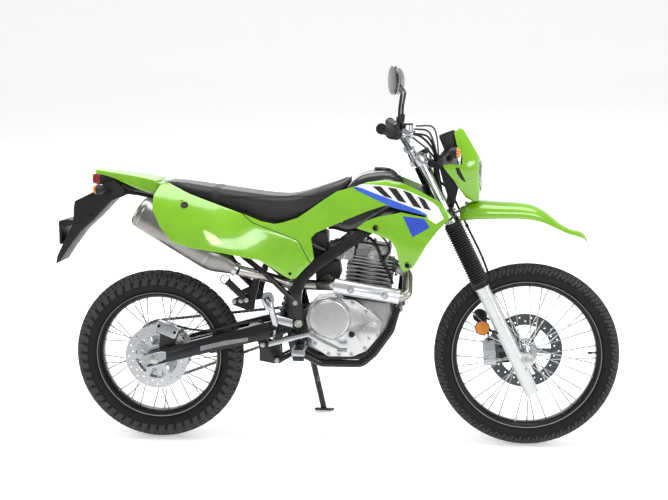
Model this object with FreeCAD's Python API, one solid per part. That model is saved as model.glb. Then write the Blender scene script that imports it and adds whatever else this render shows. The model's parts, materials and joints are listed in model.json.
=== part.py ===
"""Dual sport motorcycle: single cylinder, wire wheels, monoshock, standing on its side stand.

All pieces are drawn with the machine upright, X forward, Y to the rider's left and Z up, in
millimetres, from a point on the ground under the rear axle. At the end the whole machine is leaned
to its left onto the side stand and moved so that its box is centred on the origin, on the ground.
"""
import FreeCAD
import Part
import math
import os

V = FreeCAD.Vector

# Wheels and stance
WHEELBASE = 1380.0
REAR_R = 320.5
REAR_TYRE_HALF_W = 54.0
REAR_RIM_R = 218.0
FRONT_R = 341.5
FRONT_TYRE_HALF_W = 38.0
FRONT_RIM_R = 256.0
LEAN_DEG = 10.0
TYRE_SETTLE = 0.9
PLACE_X = -671.7
PLACE_Y = -205.0

# Steering
RAKE_DEG = 26.0
AXLE_OFFSET = 50.0
LEG_OFFSET = 12.0
STEM_R = 14.0
STEM_CLEARANCE = 0.5
HEAD_R = 27.0
HEAD_LOW = 628.0
HEAD_HIGH = 802.0

# Fork
STANCHION_R = 18.5
BOOT_R = 32.0
BOOT_LOW = 332.0
BOOT_HIGH = 572.0
LEG_R = 25.0
LEG_LOW = -118.0
LEG_Y = 98.0
LOW_CLAMP = (586.0, 624.0)
HIGH_CLAMP = (808.0, 838.0)
STANCHION_SWEEP_R = 124.0
CLAMP_SWEEP_R = 133.0

# Handlebar
BAR_R = 11.1
BAR_HALF_W = 400.0
GRIP_R = 17.0
GRIP_LEN = 122.0

# Axles
FRONT_AXLE_R = 8.5
REAR_AXLE_R = 8.5
AXLE_CLEARANCE = 0.4
FRONT_HUB_HALF_W = 50.0
REAR_HUB_HALF_W = 58.0
SPOKE_R = 1.9
SPOKES = 36

# Frame
SPAR_HALF_H = 21.0
SPAR_HALF_W = 13.0
PLATE_IN = 95.0
PLATE_OUT = 105.0
PIVOT_X = 541.0
PIVOT_Z = 464.0
PIVOT_R = 9.0
DOWN_TUBE_R = 17.0
CRADLE_R = 14.0
RAIL_R = 10.0
SKIN_T = 3.5

# Engine
CASE_HALF_W = 92.0
CYL_X = 785.0
CYL_Z = 545.0
CYL_TILT_DEG = 8.0
CYL_HEIGHT = 130.0
FINS = 9

# Exhaust
PIPE_R = 19.0
MUFFLER_R = 60.0
MUFFLER_Y = -136.0

# Drive and rear brake
CHAIN_Y = 66.0
CHAIN_HALF_W = 7.0
SPROCKET_R = 113.0
FRONT_SPROCKET_R = 36.0
FRONT_SPROCKET_X = 612.0
REAR_DISC_R = 120.0
REAR_DISC_Y = -62.0
FRONT_DISC_R = 140.0
FRONT_DISC_Y = 62.0
DISC_T = 4.5

# Side stand
STAND_PIVOT = (560.0, 131.0, 318.0)
STAND_FOOT_X = 602.0
STAND_FOOT_Y = 252.0
STAND_R = 12.0
STAND_FOLD_DEG = 98.0

RAKE = math.radians(RAKE_DEG)
LEAN = math.radians(LEAN_DEG)
AXIS_UP = V(-math.sin(RAKE), 0, math.cos(RAKE))
AXIS_FWD = V(math.cos(RAKE), 0, math.sin(RAKE))
FRONT_AXLE = V(WHEELBASE, 0, FRONT_R)
REAR_AXLE = V(0, 0, REAR_R)
STEER_ORIGIN = FRONT_AXLE - AXIS_FWD * AXLE_OFFSET
Y_AXIS = V(0, 1, 0)


# Helpers

def fork(n, y, s):
    """Point given ahead of, beside and along the steering axis."""
    return STEER_ORIGIN + AXIS_FWD * n + AXIS_UP * s + V(0, y, 0)


def rod(start, end, radius):
    """Round bar between two points."""
    run = end - start
    return Part.makeCylinder(radius, run.Length, start, run)


def cone(start, end, r_start, r_end):
    """Tapered round bar between two points."""
    run = end - start
    return Part.makeCone(r_start, r_end, run.Length, start, run)


def ring(centre, axis, outer, inner, width):
    """Flat ring centred on a point."""
    base = centre - axis * (width / 2)
    disc = Part.makeCylinder(outer, width, base, axis)
    return disc.cut(Part.makeCylinder(inner, width + 2, base - axis, axis))


def mirrored(shape):
    """The same piece on the other side of the machine."""
    return shape.mirror(V(0, 0, 0), Y_AXIS)


def pair(shape):
    """Left and right copies, as separate solids."""
    return [shape, mirrored(shape)]


def fused(shapes):
    """One solid out of several that meet."""
    return shapes[0].multiFuse(shapes[1:]).removeSplitter()


def plate(points, y_from, y_to):
    """Flat plate with a side outline given as (x, z) points."""
    corners = [V(x, y_from, z) for x, z in points]
    face = Part.Face(Part.makePolygon(corners + corners[:1]))
    return face.extrude(V(0, y_to - y_from, 0))


def rounded_plate(points, y_from, y_to, radius):
    """Flat plate whose outline corners are rounded."""
    body = plate(points, y_from, y_to)
    edges = [e for e in body.Edges if abs(e.tangentAt(e.FirstParameter).y) > 0.99]
    return body.makeFillet(radius, edges)


def tube(points, radius, bend):
    """Round tube along straight runs joined by tangent arcs."""
    edges = []
    start = points[0]
    for i in range(1, len(points) - 1):
        into = (points[i] - points[i - 1]).normalize()
        out = (points[i + 1] - points[i]).normalize()
        turn = into.getAngle(out)
        setback = bend * math.tan(turn / 2)
        a = points[i] - into * setback
        b = points[i] + out * setback
        centre_way = (out - into).normalize()
        centre = points[i] + centre_way * (bend / math.cos(turn / 2))
        middle = centre - centre_way * bend
        edges.append(Part.LineSegment(start, a).toShape())
        edges.append(Part.Arc(a, middle, b).toShape())
        start = b
    edges.append(Part.LineSegment(start, points[-1]).toShape())
    path = Part.Wire(edges)
    section = Part.Wire([Part.Circle(points[0], points[1] - points[0], radius).toShape()])
    return path.makePipeShell([section], True, False)


def beam(stations):
    """Box section beam through (x, y, z, half height, half width) stations, square to its run."""
    wires = []
    for i, (x, y, z, half_h, half_w) in enumerate(stations):
        before = stations[max(i - 1, 0)]
        after = stations[min(i + 1, len(stations) - 1)]
        along = V(after[0] - before[0], 0, after[2] - before[2]).normalize()
        up = V(-along.z, 0, along.x)
        c = V(x, y, z)
        corners = [c + up * half_h + Y_AXIS * half_w, c + up * half_h - Y_AXIS * half_w,
                   c - up * half_h - Y_AXIS * half_w, c - up * half_h + Y_AXIS * half_w]
        wires.append(Part.makePolygon(corners + corners[:1]))
    return Part.makeLoft(wires, True, True)


def skin(stations, thickness=SKIN_T):
    """Thin curved panel on the right side, lofted along X through (x, [(y, z), ...]) sections."""
    wires = []
    for x, curve in stations:
        outer = [V(x, -y, z) for y, z in curve]
        inner = [V(x, -y + thickness, z) for y, z in curve]
        a = Part.BSplineCurve()
        a.interpolate(outer)
        b = Part.BSplineCurve()
        b.interpolate(inner)
        top = Part.LineSegment(outer[-1], inner[-1]).toShape()
        low = Part.LineSegment(inner[0], outer[0]).toShape()
        wires.append(Part.Wire([a.toShape(), top, b.toShape(), low]))
    return Part.makeLoft(wires, True, False)


def trimmed(body, outline):
    """Part of a body inside a side outline."""
    return body.common(plate(outline, -500, 500))


def section(x, half_w, low, high, corner):
    """Rounded rectangle across the machine at one X."""
    c = min(corner, half_w * 0.95, (high - low) * 0.48)
    k = c * (1 - math.sqrt(0.5))
    w = half_w
    edges = []
    marks = [((w, low + c), (w, high - c)), ((w - c, high), (-w + c, high)),
             ((-w, high - c), (-w, low + c)), ((-w + c, low), (w - c, low))]
    mids = [(w - k, high - k), (-w + k, high - k), (-w + k, low + k), (w - k, low + k)]
    for i, (a, b) in enumerate(marks):
        after = marks[(i + 1) % 4][0]
        edges.append(Part.LineSegment(V(x, *a), V(x, *b)).toShape())
        edges.append(Part.Arc(V(x, *b), V(x, *mids[i]), V(x, *after)).toShape())
    return Part.Wire(edges)


def body_loft(stations, corner):
    """Soft body through (x, half width, low z, high z) stations."""
    wires = [section(x, w, low, high, corner) for x, w, low, high in stations]
    return Part.makeLoft(wires, True, False)


def revolved(profile, centre):
    """Body turned about the wheel axis from (radius, y) points, arcs as (mid, end) pairs."""
    edges = []
    at = profile[0]
    for item in profile[1:]:
        if isinstance(item[0], tuple):
            mid, end = item
            edges.append(Part.Arc(V(at[0], at[1], 0), V(mid[0], mid[1], 0), V(end[0], end[1], 0)).toShape())
            at = end
        else:
            edges.append(Part.LineSegment(V(at[0], at[1], 0), V(item[0], item[1], 0)).toShape())
            at = item
    edges.append(Part.LineSegment(V(at[0], at[1], 0), V(profile[0][0], profile[0][1], 0)).toShape())
    face = Part.Face(Part.Wire(edges))
    body = face.revolve(V(0, 0, 0), Y_AXIS, 360)
    body.translate(centre)
    return body


# Wheels

def rim_shape(centre, inner_r, half_w, flange_h):
    """Channel rim with flanges and a drop centre."""
    well = half_w * 0.42
    seat = inner_r + 11
    top = seat + flange_h
    return revolved([(inner_r, -well), (inner_r + 4, -well - 8), (seat, -half_w), (top, -half_w),
                     (top, -half_w + 4), (seat + 2, -half_w + 5), (seat + 2, half_w - 5),
                     (top, half_w - 4), (top, half_w), (seat, half_w), (inner_r + 4, well + 8),
                     (inner_r, well)], centre)


def tyre_shape(centre, outer_r, half_w, inner_r, rim_half_w, flange_h):
    """Tyre out to the tips of its tread."""
    seat = inner_r + 13
    top = inner_r + 11 + flange_h
    mid = (top + outer_r) / 2 - 2
    shoulder_r = outer_r - half_w * 0.38
    shoulder_y = half_w * 0.86
    a, b = rim_half_w - 5, rim_half_w - 4
    return revolved([(seat, -a), (top, -b), (top + 1, -b),
                     ((mid, -half_w), (shoulder_r, -shoulder_y)),
                     ((outer_r, 0), (shoulder_r, shoulder_y)),
                     ((mid, half_w), (top + 1, b)), (top, b), (seat, a)], centre)


def spoke_set(centre, hub_r, flange_y, rim_r):
    """Laced spokes from the two hub flanges to the rim."""
    spokes = []
    per_group = SPOKES // 4
    step = 2 * math.pi / per_group
    for side in (-1, 1):
        for lay, lead in ((0, 1), (1, -1)):
            for i in range(per_group):
                hub_a = step * (i + 0.5 * lay + 0.25 * (side > 0))
                rim_a = hub_a + lead * math.radians(38)
                hub_y = side * (flange_y + (3.0 if lay else -3.0))
                rim_y = side * (11.0 if lay else 4.0)
                a = centre + V(hub_r * math.cos(hub_a), hub_y, hub_r * math.sin(hub_a))
                b = centre + V((rim_r + 3) * math.cos(rim_a), rim_y, (rim_r + 3) * math.sin(rim_a))
                spokes.append(rod(a, b, SPOKE_R))
    return spokes


def hub_shape(centre, half_w, flange_r, flange_y, barrel_r, axle_r):
    """Hub with two spoke flanges, bored for its axle."""
    end_r = axle_r + 9
    bore = axle_r + AXLE_CLEARANCE
    f = 6.5
    right = [(bore, -half_w), (end_r, -half_w), (end_r, -flange_y - f), (flange_r, -flange_y - f),
             (flange_r, -flange_y + f), (barrel_r, -flange_y + f)]
    left = [(r, -y) for r, y in reversed(right)]
    return revolved(right + left, centre)


def disc_shape(centre, outer_r, inner_r, y, holes, hub_r):
    """Brake disc with spider arms and drilled band."""
    c = centre + V(0, y, 0)
    band = ring(c, Y_AXIS, outer_r, inner_r, DISC_T)
    arms = [ring(c, Y_AXIS, hub_r + 16, hub_r, DISC_T)]
    for i in range(6):
        a = 2 * math.pi * i / 6
        way = V(math.cos(a), 0, math.sin(a))
        side = V(-math.sin(a), 0, math.cos(a))
        corners = [c + way * (hub_r + 6) + side * 9, c + way * (inner_r + 4) + side * 9,
                   c + way * (inner_r + 4) - side * 9, c + way * (hub_r + 6) - side * 9]
        face = Part.Face(Part.makePolygon(corners + corners[:1]))
        arm = face.extrude(Y_AXIS * DISC_T)
        arm.translate(V(0, -DISC_T / 2, 0))
        arms.append(arm)
    disc = fused([band] + arms)
    drills = []
    for i in range(holes):
        a = 2 * math.pi * i / holes
        r = inner_r + (outer_r - inner_r) * (0.32 if i % 2 else 0.68)
        p = c + V(r * math.cos(a), -DISC_T, r * math.sin(a))
        drills.append(Part.makeCylinder(3.2, 2 * DISC_T, p, Y_AXIS))
    return disc.cut(Part.makeCompound(drills))


def front_wheel():
    """Front wheel pieces."""
    flange_y = 27.0
    rim_half_w = 27.0
    flange_h = 9.0
    hub_flange_r = 34.0
    rim = rim_shape(FRONT_AXLE, FRONT_RIM_R, rim_half_w, flange_h)
    tyre = tyre_shape(FRONT_AXLE, FRONT_R, FRONT_TYRE_HALF_W, FRONT_RIM_R, rim_half_w, flange_h)
    tyre = tyre.cut(rim)
    hub = hub_shape(FRONT_AXLE, FRONT_HUB_HALF_W, hub_flange_r, flange_y, 22.0, FRONT_AXLE_R)
    carrier = ring(FRONT_AXLE + V(0, FRONT_DISC_Y / 2 + 16, 0), Y_AXIS, 44, FRONT_AXLE_R + 6,
                   FRONT_DISC_Y - DISC_T / 2 - 33)
    carrier.translate(V(0, (FRONT_DISC_Y - DISC_T / 2 + 33) / 2 - FRONT_DISC_Y / 2 - 16, 0))
    hub = fused([hub, carrier])
    spokes = Part.makeCompound(spoke_set(FRONT_AXLE, hub_flange_r - 6, flange_y, FRONT_RIM_R)).cut(rim)
    hub = fused([hub] + spokes.Solids)
    disc = disc_shape(FRONT_AXLE, FRONT_DISC_R, 98.0, FRONT_DISC_Y, 36, 30.0)
    return {"front_tyre": [tyre], "front_rim": [rim], "front_hub": [hub], "front_disc": [disc]}


def rear_wheel():
    """Rear wheel pieces with the driven sprocket."""
    flange_y = 28.0
    rim_half_w = 34.0
    flange_h = 10.0
    hub_flange_r = 52.0
    rim = rim_shape(REAR_AXLE, REAR_RIM_R, rim_half_w, flange_h)
    tyre = tyre_shape(REAR_AXLE, REAR_R, REAR_TYRE_HALF_W, REAR_RIM_R, rim_half_w, flange_h)
    tyre = tyre.cut(rim)
    hub = hub_shape(REAR_AXLE, REAR_HUB_HALF_W, hub_flange_r, flange_y, 40.0, REAR_AXLE_R)
    seats = []
    for face_y in (REAR_DISC_Y + DISC_T / 2, CHAIN_Y - 3.5):
        base = math.copysign(30.0, face_y)
        width = abs(face_y - base)
        seats.append(ring(REAR_AXLE + V(0, (face_y + base) / 2, 0), Y_AXIS, 46, REAR_AXLE_R + 5, width))
    hub = fused([hub] + seats)
    spokes = Part.makeCompound(spoke_set(REAR_AXLE, hub_flange_r - 6, flange_y, REAR_RIM_R)).cut(rim)
    hub = fused([hub] + spokes.Solids)
    disc = disc_shape(REAR_AXLE, REAR_DISC_R, 82.0, REAR_DISC_Y, 32, 30.0)
    return {"rear_tyre": [tyre], "rear_rim": [rim], "rear_hub": [hub], "rear_disc": [disc],
            "rear_sprocket": [sprocket_shape()]}


def sprocket_shape():
    """Driven sprocket with round roller gaps and window cut-outs."""
    teeth = 43
    c = REAR_AXLE + V(0, CHAIN_Y, 0)
    body = ring(c, Y_AXIS, SPROCKET_R - 2, 30.0, 7.0)
    cuts = []
    for i in range(teeth):
        a = 2 * math.pi * i / teeth
        p = c + V((SPROCKET_R + 1) * math.cos(a), -5, (SPROCKET_R + 1) * math.sin(a))
        cuts.append(Part.makeCylinder(5.2, 10, p, Y_AXIS))
    for i in range(6):
        a = 2 * math.pi * (i + 0.5) / 6
        p = c + V(74 * math.cos(a), -5, 74 * math.sin(a))
        cuts.append(Part.makeCylinder(17, 10, p, Y_AXIS))
    return body.cut(Part.makeCompound(cuts))


# Frame

SHOCK_TOP = (548, 664)
SHOCK_LOW = (436, 346)
SPAR_LINE = [(1018, 30, 962), (950, 40, 916), (880, 62, 869), (712, 92, 756), (610, 93, 685), (556, 93, 635),
             (534, 93, 590), (528, 93, 540)]


def frame_shape():
    """Welded frame: head tube, twin spars, down tube, cradle, pivot plates and cross tubes."""
    head = rod(fork(0, 0, HEAD_LOW), fork(0, 0, HEAD_HIGH), HEAD_R)
    pieces = [head]
    spar = beam([(x, y, z, SPAR_HALF_H, SPAR_HALF_W) for x, y, z in SPAR_LINE])
    gusset = plate([(1046, 914), (1040, 940), (960, 905), (900, 850), (940, 740), (950, 740), (996, 862),
                    (1018, 876)], -12, 12)
    down = tube([fork(-16, 0, HEAD_LOW + 54), V(925, 0, 640), V(912, 0, 520)], DOWN_TUBE_R, 120)
    cross = rod(V(900, -84, 515), V(900, 84, 515), CRADLE_R)
    cradle = tube([V(900, 84, 515), V(880, 84, 440), V(818, 84, 352), V(772, 84, 312), V(623, 84, 312),
                   V(548, 90, 350)], CRADLE_R, 45)
    plates = plate([(500, 560), (548, 560), (562, 500), (562, 400), (560, 322), (520, 322), (500, 400)],
                   PLATE_IN, PLATE_OUT)
    for part in (spar, cradle, plates):
        pieces += pair(part)
    pieces += [gusset, down, cross]
    pieces.append(rod(V(600, -90, 680), V(600, 90, 680), 14))
    clevis = plate([(536, 676), (610, 692), (610, 670), (560, 648), (536, 652)], 15, 23)
    pieces += pair(clevis) + [rod(V(SHOCK_TOP[0], -20, SHOCK_TOP[1]), V(SHOCK_TOP[0], 20, SHOCK_TOP[1]), 7)]
    pieces.append(rod(V(540, -96, 352), V(540, 96, 352), 14))
    pieces.append(rod(V(800, -84, 335), V(800, 84, 335), 9))
    body = fused(pieces)
    bore = rod(fork(0, 0, HEAD_LOW - 20), fork(0, 0, HEAD_HIGH + 20), STEM_R + STEM_CLEARANCE)
    pivot = rod(V(PIVOT_X, -120, PIVOT_Z), V(PIVOT_X, 120, PIVOT_Z), PIVOT_R)
    return body.cut(bore).cut(pivot)


def subframe_shape(frame):
    """Bolted rear subframe with seat rails, braces and cross tubes."""
    rail = tube([V(640, 86, 733), V(480, 84, 806), V(330, 72, 840), V(120, 66, 918), V(-120, 50, 960)],
                RAIL_R, 160)
    brace = tube([V(536, 93, 618), V(430, 84, 690), V(250, 72, 800), V(60, 64, 930)], RAIL_R, 120)
    pieces = pair(rail) + pair(brace)
    for x, z, half in ((330, 840, 72), (120, 918, 66), (-100, 956, 52)):
        pieces.append(rod(V(x, -half, z), V(x, half, z), 8))
    return fused(pieces).cut(frame)


def swingarm_shape():
    """Box section swingarm with pivot tube, cross member and slotted ends."""
    arm = beam([(PIVOT_X, 76, PIVOT_Z, 24, 13), (480, 81, 448, 28, 12), (400, 93, 428, 30, 12),
                (60, 93, 340, 27, 12), (-34, 93, 312, 24, 12)])
    tube_over = rod(V(PIVOT_X, -92, PIVOT_Z), V(PIVOT_X, 92, PIVOT_Z), 24)
    member = beam([(346, 0, 414, 21, 84), (386, 0, 424, 21, 84)])
    body = fused(pair(arm) + [tube_over, member])
    pivot = rod(V(PIVOT_X, -120, PIVOT_Z), V(PIVOT_X, 120, PIVOT_Z), PIVOT_R)
    slot = rod(REAR_AXLE + V(0, -120, 0), REAR_AXLE + V(0, 120, 0), REAR_AXLE_R)
    return body.cut(pivot).cut(slot)


def axle_shapes():
    """Swingarm pivot bolt and rear axle with their nuts."""
    pivot = rod(V(PIVOT_X, -112, PIVOT_Z), V(PIVOT_X, 112, PIVOT_Z), PIVOT_R)
    caps = [rod(V(PIVOT_X, side * PLATE_OUT, PIVOT_Z), V(PIVOT_X, side * (PLATE_OUT + 8), PIVOT_Z), 15)
            for side in (-1, 1)]
    rear = rod(REAR_AXLE + V(0, -117, 0), REAR_AXLE + V(0, 117, 0), REAR_AXLE_R)
    nuts = [rod(REAR_AXLE + V(0, y, 0), REAR_AXLE + V(0, y + 10, 0), 15) for y in (-115, 105)]
    spacers = []
    for y in (-81, REAR_HUB_HALF_W + 0.5):
        width = 81 - REAR_HUB_HALF_W - 0.5
        spacers.append(rod(REAR_AXLE + V(0, y, 0), REAR_AXLE + V(0, y + width, 0), REAR_AXLE_R + 3.5))
    return [fused([pivot] + caps), fused([rear] + nuts + spacers)]


# Engine

def crankcase_shape(frame):
    """Cast crankcase between the covers."""
    outline = [(556, 500), (600, 545), (700, 556), (872, 556), (880, 500), (868, 430), (810, 355),
               (760, 338), (640, 338), (575, 372), (562, 410)]
    body = rounded_plate(outline, -CASE_HALF_W + 20, CASE_HALF_W - 20, 14)
    nose = plate([(860, 500), (892, 545), (918, 545), (922, 500), (880, 470)], -22, 22)
    foot = plate([(730, 345), (830, 345), (812, 322), (770, 318)], -30, 30)
    pivot_lug = plate([(541, 440), (541, 490), (575, 500), (575, 430)], -55, 55)
    swing = rod(V(PIVOT_X, -95, PIVOT_Z), V(PIVOT_X, 95, PIVOT_Z), 24.5)
    return fused([body, nose, foot, pivot_lug]).cut(swing).cut(frame)


def engine_covers():
    """Clutch cover on the right, generator and sprocket covers on the left."""
    inner = CASE_HALF_W - 20
    right = rounded_plate([(570, 486), (588, 540), (632, 563), (745, 556), (800, 520), (846, 478),
                           (838, 425), (792, 368), (740, 345), (650, 345), (592, 385)],
                          -inner - 42, -inner, 12)
    round_cover = Part.makeCylinder(74, 26, V(658, -inner - 42 - 26, 487), Y_AXIS)
    round_cover = round_cover.makeFillet(8, [e for e in round_cover.Edges if e.CenterOfMass.y < -inner - 60])
    filter_cover = Part.makeCylinder(30, 14, V(800, -inner - 42 - 14, 440), Y_AXIS)
    plug = Part.makeCylinder(9, 8, V(738, -inner - 42 - 8, 429), Y_AXIS)
    right = fused([right, round_cover, filter_cover, plug])
    generator = Part.makeCylinder(76, 46, V(770, inner, 440), Y_AXIS)
    generator = generator.makeFillet(10, [e for e in generator.Edges if e.CenterOfMass.y > inner + 40])
    left = rounded_plate([(570, 500), (600, 530), (680, 530), (700, 400), (640, 360), (575, 400)],
                         inner, inner + 20, 10)
    return [right, fused([generator, left])]


def tilted(shape):
    """Leans an upright cylinder piece forward about the cylinder base."""
    moved = shape.copy()
    moved.rotate(V(CYL_X, 0, CYL_Z), Y_AXIS, CYL_TILT_DEG)
    return moved


def cylinder_shape(case):
    """Cylinder barrel with its cooling fins."""
    core = Part.makeCylinder(52, CYL_HEIGHT, V(CYL_X, 0, CYL_Z), V(0, 0, 1))
    pieces = [core]
    pitch = (CYL_HEIGHT - 12) / (FINS - 1)
    for i in range(FINS):
        fin = Part.makeBox(176, 156, 4, V(CYL_X - 88, -78, CYL_Z + 6 + pitch * i - 2))
        fin = fin.makeFillet(24, [e for e in fin.Edges if abs(e.tangentAt(e.FirstParameter).z) > 0.99])
        pieces.append(fin)
    return tilted(fused(pieces)).cut(case)


def head_shape():
    """Finned cylinder head with rocker cover, cam cover and port flanges."""
    z0 = CYL_Z + CYL_HEIGHT
    block = Part.makeBox(120, 112, 56, V(CYL_X - 60, -56, z0))
    pieces = [block]
    for i in range(3):
        fin = Part.makeBox(170, 150, 4, V(CYL_X - 85, -75, z0 + 4 + 12 * i))
        fin = fin.makeFillet(22, [e for e in fin.Edges if abs(e.tangentAt(e.FirstParameter).z) > 0.99])
        pieces.append(fin)
    cover = Part.makeBox(132, 104, 34, V(CYL_X - 66, -52, z0 + 50))
    cover = cover.makeFillet(12, [e for e in cover.Edges if e.CenterOfMass.z > z0 + 60])
    cam = Part.makeCylinder(30, 136, V(CYL_X + 6, -68, z0 + 42), Y_AXIS)
    inlet = rod(V(CYL_X - 50, 0, z0 + 34), V(CYL_X - 100, 0, z0 + 50), 22)
    outlet = rod(V(CYL_X + 50, -14, z0 + 20), V(CYL_X + 96, -14, z0 + 6), 24)
    return tilted(fused(pieces + [cover, cam, inlet, outlet]))


# Exhaust

PIPE_LINE = [(899, -42, 666), (940, -46, 646), (940, -134, 572), (900, -137, 577), (680, -137, 612),
             (612, -58, 600), (500, -56, 604), (420, -78, 632), (322, -132, 664)]
SHIELD_R = 29.0
MUFFLER_START = V(322, -132, 664)
MUFFLER_END = V(-40, MUFFLER_Y, 882)


def exhaust_shapes():
    """Exhaust pipe and, over it, the heat shield on two standoffs."""
    points = [V(*p) for p in PIPE_LINE]
    pipe = tube(points, PIPE_R, 30)
    flange = rod(points[0] - V(1, 0, 0), points[0] + V(9, 0, -3), 30)
    start, end = V(912, -137, 575), V(676, -137, 612.6)
    run = (end - start).normalize()
    outer = rod(start, end, SHIELD_R)
    outer = outer.cut(rod(start - run * 5, end + run * 5, SHIELD_R - 3))
    keep = Part.makeBox(400, 60, 200, V(600, -137 - 6 - 60, 500))
    shield = outer.common(keep)
    studs = []
    for share in (0.22, 0.74):
        at = start + (end - start) * share
        studs.append(rod(at - V(0, PIPE_R - 2, 0), at - V(0, SHIELD_R - 1, 0), 7))
        studs.append(rod(at - V(0, SHIELD_R - 1.5, 0), at - V(0, SHIELD_R + 3, 0), 9))
    shield = fused([shield] + studs).cut(pipe)
    return fused([pipe, flange]), shield


def muffler_shape():
    """Muffler barrel with its front cone, end cap and tail pipe."""
    way = (MUFFLER_END - MUFFLER_START).normalize()
    barrel_start = MUFFLER_START + way * 105
    barrel_end = MUFFLER_END - way * 26
    front = cone(MUFFLER_START, barrel_start, PIPE_R + 4, MUFFLER_R)
    barrel = rod(barrel_start, barrel_end, MUFFLER_R)
    cap = cone(barrel_end, MUFFLER_END, MUFFLER_R - 1, MUFFLER_R - 20)
    bore = rod(MUFFLER_END - way * OUTLET_DEPTH, MUFFLER_END + way * 5, OUTLET_R)
    return fused([front, barrel, cap]).cut(bore)


# Bodywork

PANEL_SKIN = [(-10, [(199, 850), (198, 908), (168, 955), (92, 1000)]),
              (150, [(213, 730), (211, 815), (172, 895), (106, 965)]),
              (300, [(194, 680), (188, 780), (156, 850), (118, 910)]),
              (450, [(134, 580), (144, 710), (138, 800), (118, 880)]),
              (600, [(116, 560), (126, 700), (126, 830), (104, 930)]),
              (720, [(124, 650), (142, 780), (142, 880), (118, 970)]),
              (850, [(152, 650), (174, 780), (170, 900), (124, 1000)]),
              (960, [(178, 640), (196, 760), (190, 880), (146, 985)]),
              (1110, [(192, 620), (206, 760), (202, 860), (176, 960)])]
FRONT_PANEL = [(342, 871), (408, 844), (457, 834), (487, 839), (539, 855), (580, 882), (623, 913),
               (682, 952), (734, 967), (795, 987), (857, 996), (915, 988), (985, 958), (1052, 923),
               (1096, 873), (1086, 863), (1043, 818), (1006, 767), (987, 732), (960, 688), (926, 670),
               (912, 697), (898, 755), (881, 783), (820, 806), (756, 824), (790, 850), (833, 867),
               (918, 885), (968, 875), (1002, 869), (1008, 877), (968, 890), (893, 906), (859, 908),
               (792, 885), (696, 843), (628, 812), (608, 803), (590, 784), (601, 708), (589, 692),
               (549, 766), (537, 778), (378, 840)]
SIDE_PANEL = [(22, 938), (46, 987), (147, 942), (338, 871), (376, 838), (535, 776), (547, 764),
              (587, 690), (566, 670), (534, 635), (517, 631), (495, 642), (446, 676), (404, 703),
              (349, 717), (277, 736), (187, 751), (135, 763), (94, 778), (53, 826), (23, 888)]


def skin_y(body, x, z):
    """Outer and inner Y of a right hand panel at one point of its side view."""
    cut = body.common(Part.LineSegment(V(x, -400, z), V(x, 0, z)).toShape())
    return cut.BoundBox.YMin, cut.BoundBox.YMax


def panel(outline, seats, carriers):
    """Right hand body panel with mounting bosses that reach inward to what carries them."""
    body = trimmed(skin(PANEL_SKIN), outline)
    bosses = []
    for x, z, inner_y in seats:
        outer, inner = skin_y(body, x, z)
        bosses.append(rod(V(x, (outer + inner) / 2, z), V(x, inner_y, z), 8))
    body = fused([body] + bosses)
    for carrier in carriers:
        body = body.cut(carrier)
    return body


TANK = [(648, 80, 806, 898), (700, 94, 800, 944), (750, 106, 806, 1000), (800, 110, 840, 1019),
        (850, 110, 874, 1024), (890, 104, 900, 1017), (926, 84, 925, 978)]
SEAT = [(24, 66, 948.4, 978), (124, 94, 930.4, 974), (208, 108, 897.4, 962), (359, 112, 845.4, 941),
        (459, 110, 825.4, 930), (509, 104, 824.4, 931), (560, 96, 840.4, 941), (648, 82, 903.4, 970),
        (728, 54, 983.4, 1008)]
TAIL = [(-222, 42, 1004, 1024), (-184, 50, 998, 1019), (-100, 66, 968, 1008), (18, 84, 935, 986)]


def tank_shapes(frame):
    """Fuel tank seated on the spars, hollowed in front for the turning fork, with its filler cap."""
    fork_room = rod(fork(0, 0, 560), fork(0, 0, 850), STANCHION_SWEEP_R)
    clamp_room = rod(fork(0, 0, HIGH_CLAMP[0] - 8), fork(0, 0, 900), CLAMP_SWEEP_R)
    tank = body_loft(TANK, 34).cut(frame).cut(fork_room).cut(clamp_room)
    cap = rod(V(842, 0, 1010), V(844, 0, 1032), 30).cut(tank)
    return [tank], [cap]


def seat_shape():
    """Seat cushion, kept clear of the tank and rails."""
    return body_loft(SEAT, 26)


def rear_fender_shape(subframe):
    """Green tail piece over the end of the subframe."""
    return body_loft(TAIL, 9).cut(subframe)


HOLDER_X = -363.0
OUTLET_R = 17.0
OUTLET_DEPTH = 30.0


def rear_flap_shape(subframe, tail):
    """Inner fender over the rear wheel, rear flap and plate holder."""
    strip = plate([(-126, 948), (-60, 934), (40, 910), (190, 820), (330, 734), (326, 728), (186, 813),
                   (38, 903), (-60, 926), (-126, 934)], -48, 48)
    flap = plate([(-110, 950), (-110, 928), (-161, 907), (-228, 838), (-280, 792), (-329, 729),
                  (-366, 675), (-378, 669), (-372, 698), (-346, 752), (-309, 822), (-306, 850),
                  (-305, 875), (-300, 905), (-234, 937), (-184, 975), (-150, 985)], -62, 62)
    hollow = plate([(-130, 950), (-161, 929), (-222, 860), (-274, 812), (-326, 745), (-340, 752),
                    (-304, 830), (-298, 880), (-232, 922), (-180, 952)], -56, 56)
    holder = plate([(-302, 832), (-330, 836), (HOLDER_X, 830), (HOLDER_X, 745), (-357, 742), (-352, 806),
                    (-308, 814)], -61, 61)
    body = fused([flap.cut(hollow), holder, strip])
    return body.cut(subframe).cut(tail)


def rear_lamp_shapes(flap):
    """Tail lamp under the tail piece, and the two rear indicators on their stalks."""
    lamp = body_loft([(-236, 40, 970, 1004), (-226, 44, 968, 1006), (-186, 44, 968, 999)], 10)
    signals = []
    stalk = rod(V(-170, -62, 945), V(-182, -125, 956), 8)
    body = rod(V(-181, -118, 956), V(-184, -178, 958), 20)
    body = body.makeFillet(7, [e for e in body.Edges if e.Length > 100])
    signals += pair(fused([stalk, body]).cut(flap))
    return lamp.cut(flap), signals


# Drive, shock and rear brake

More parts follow.
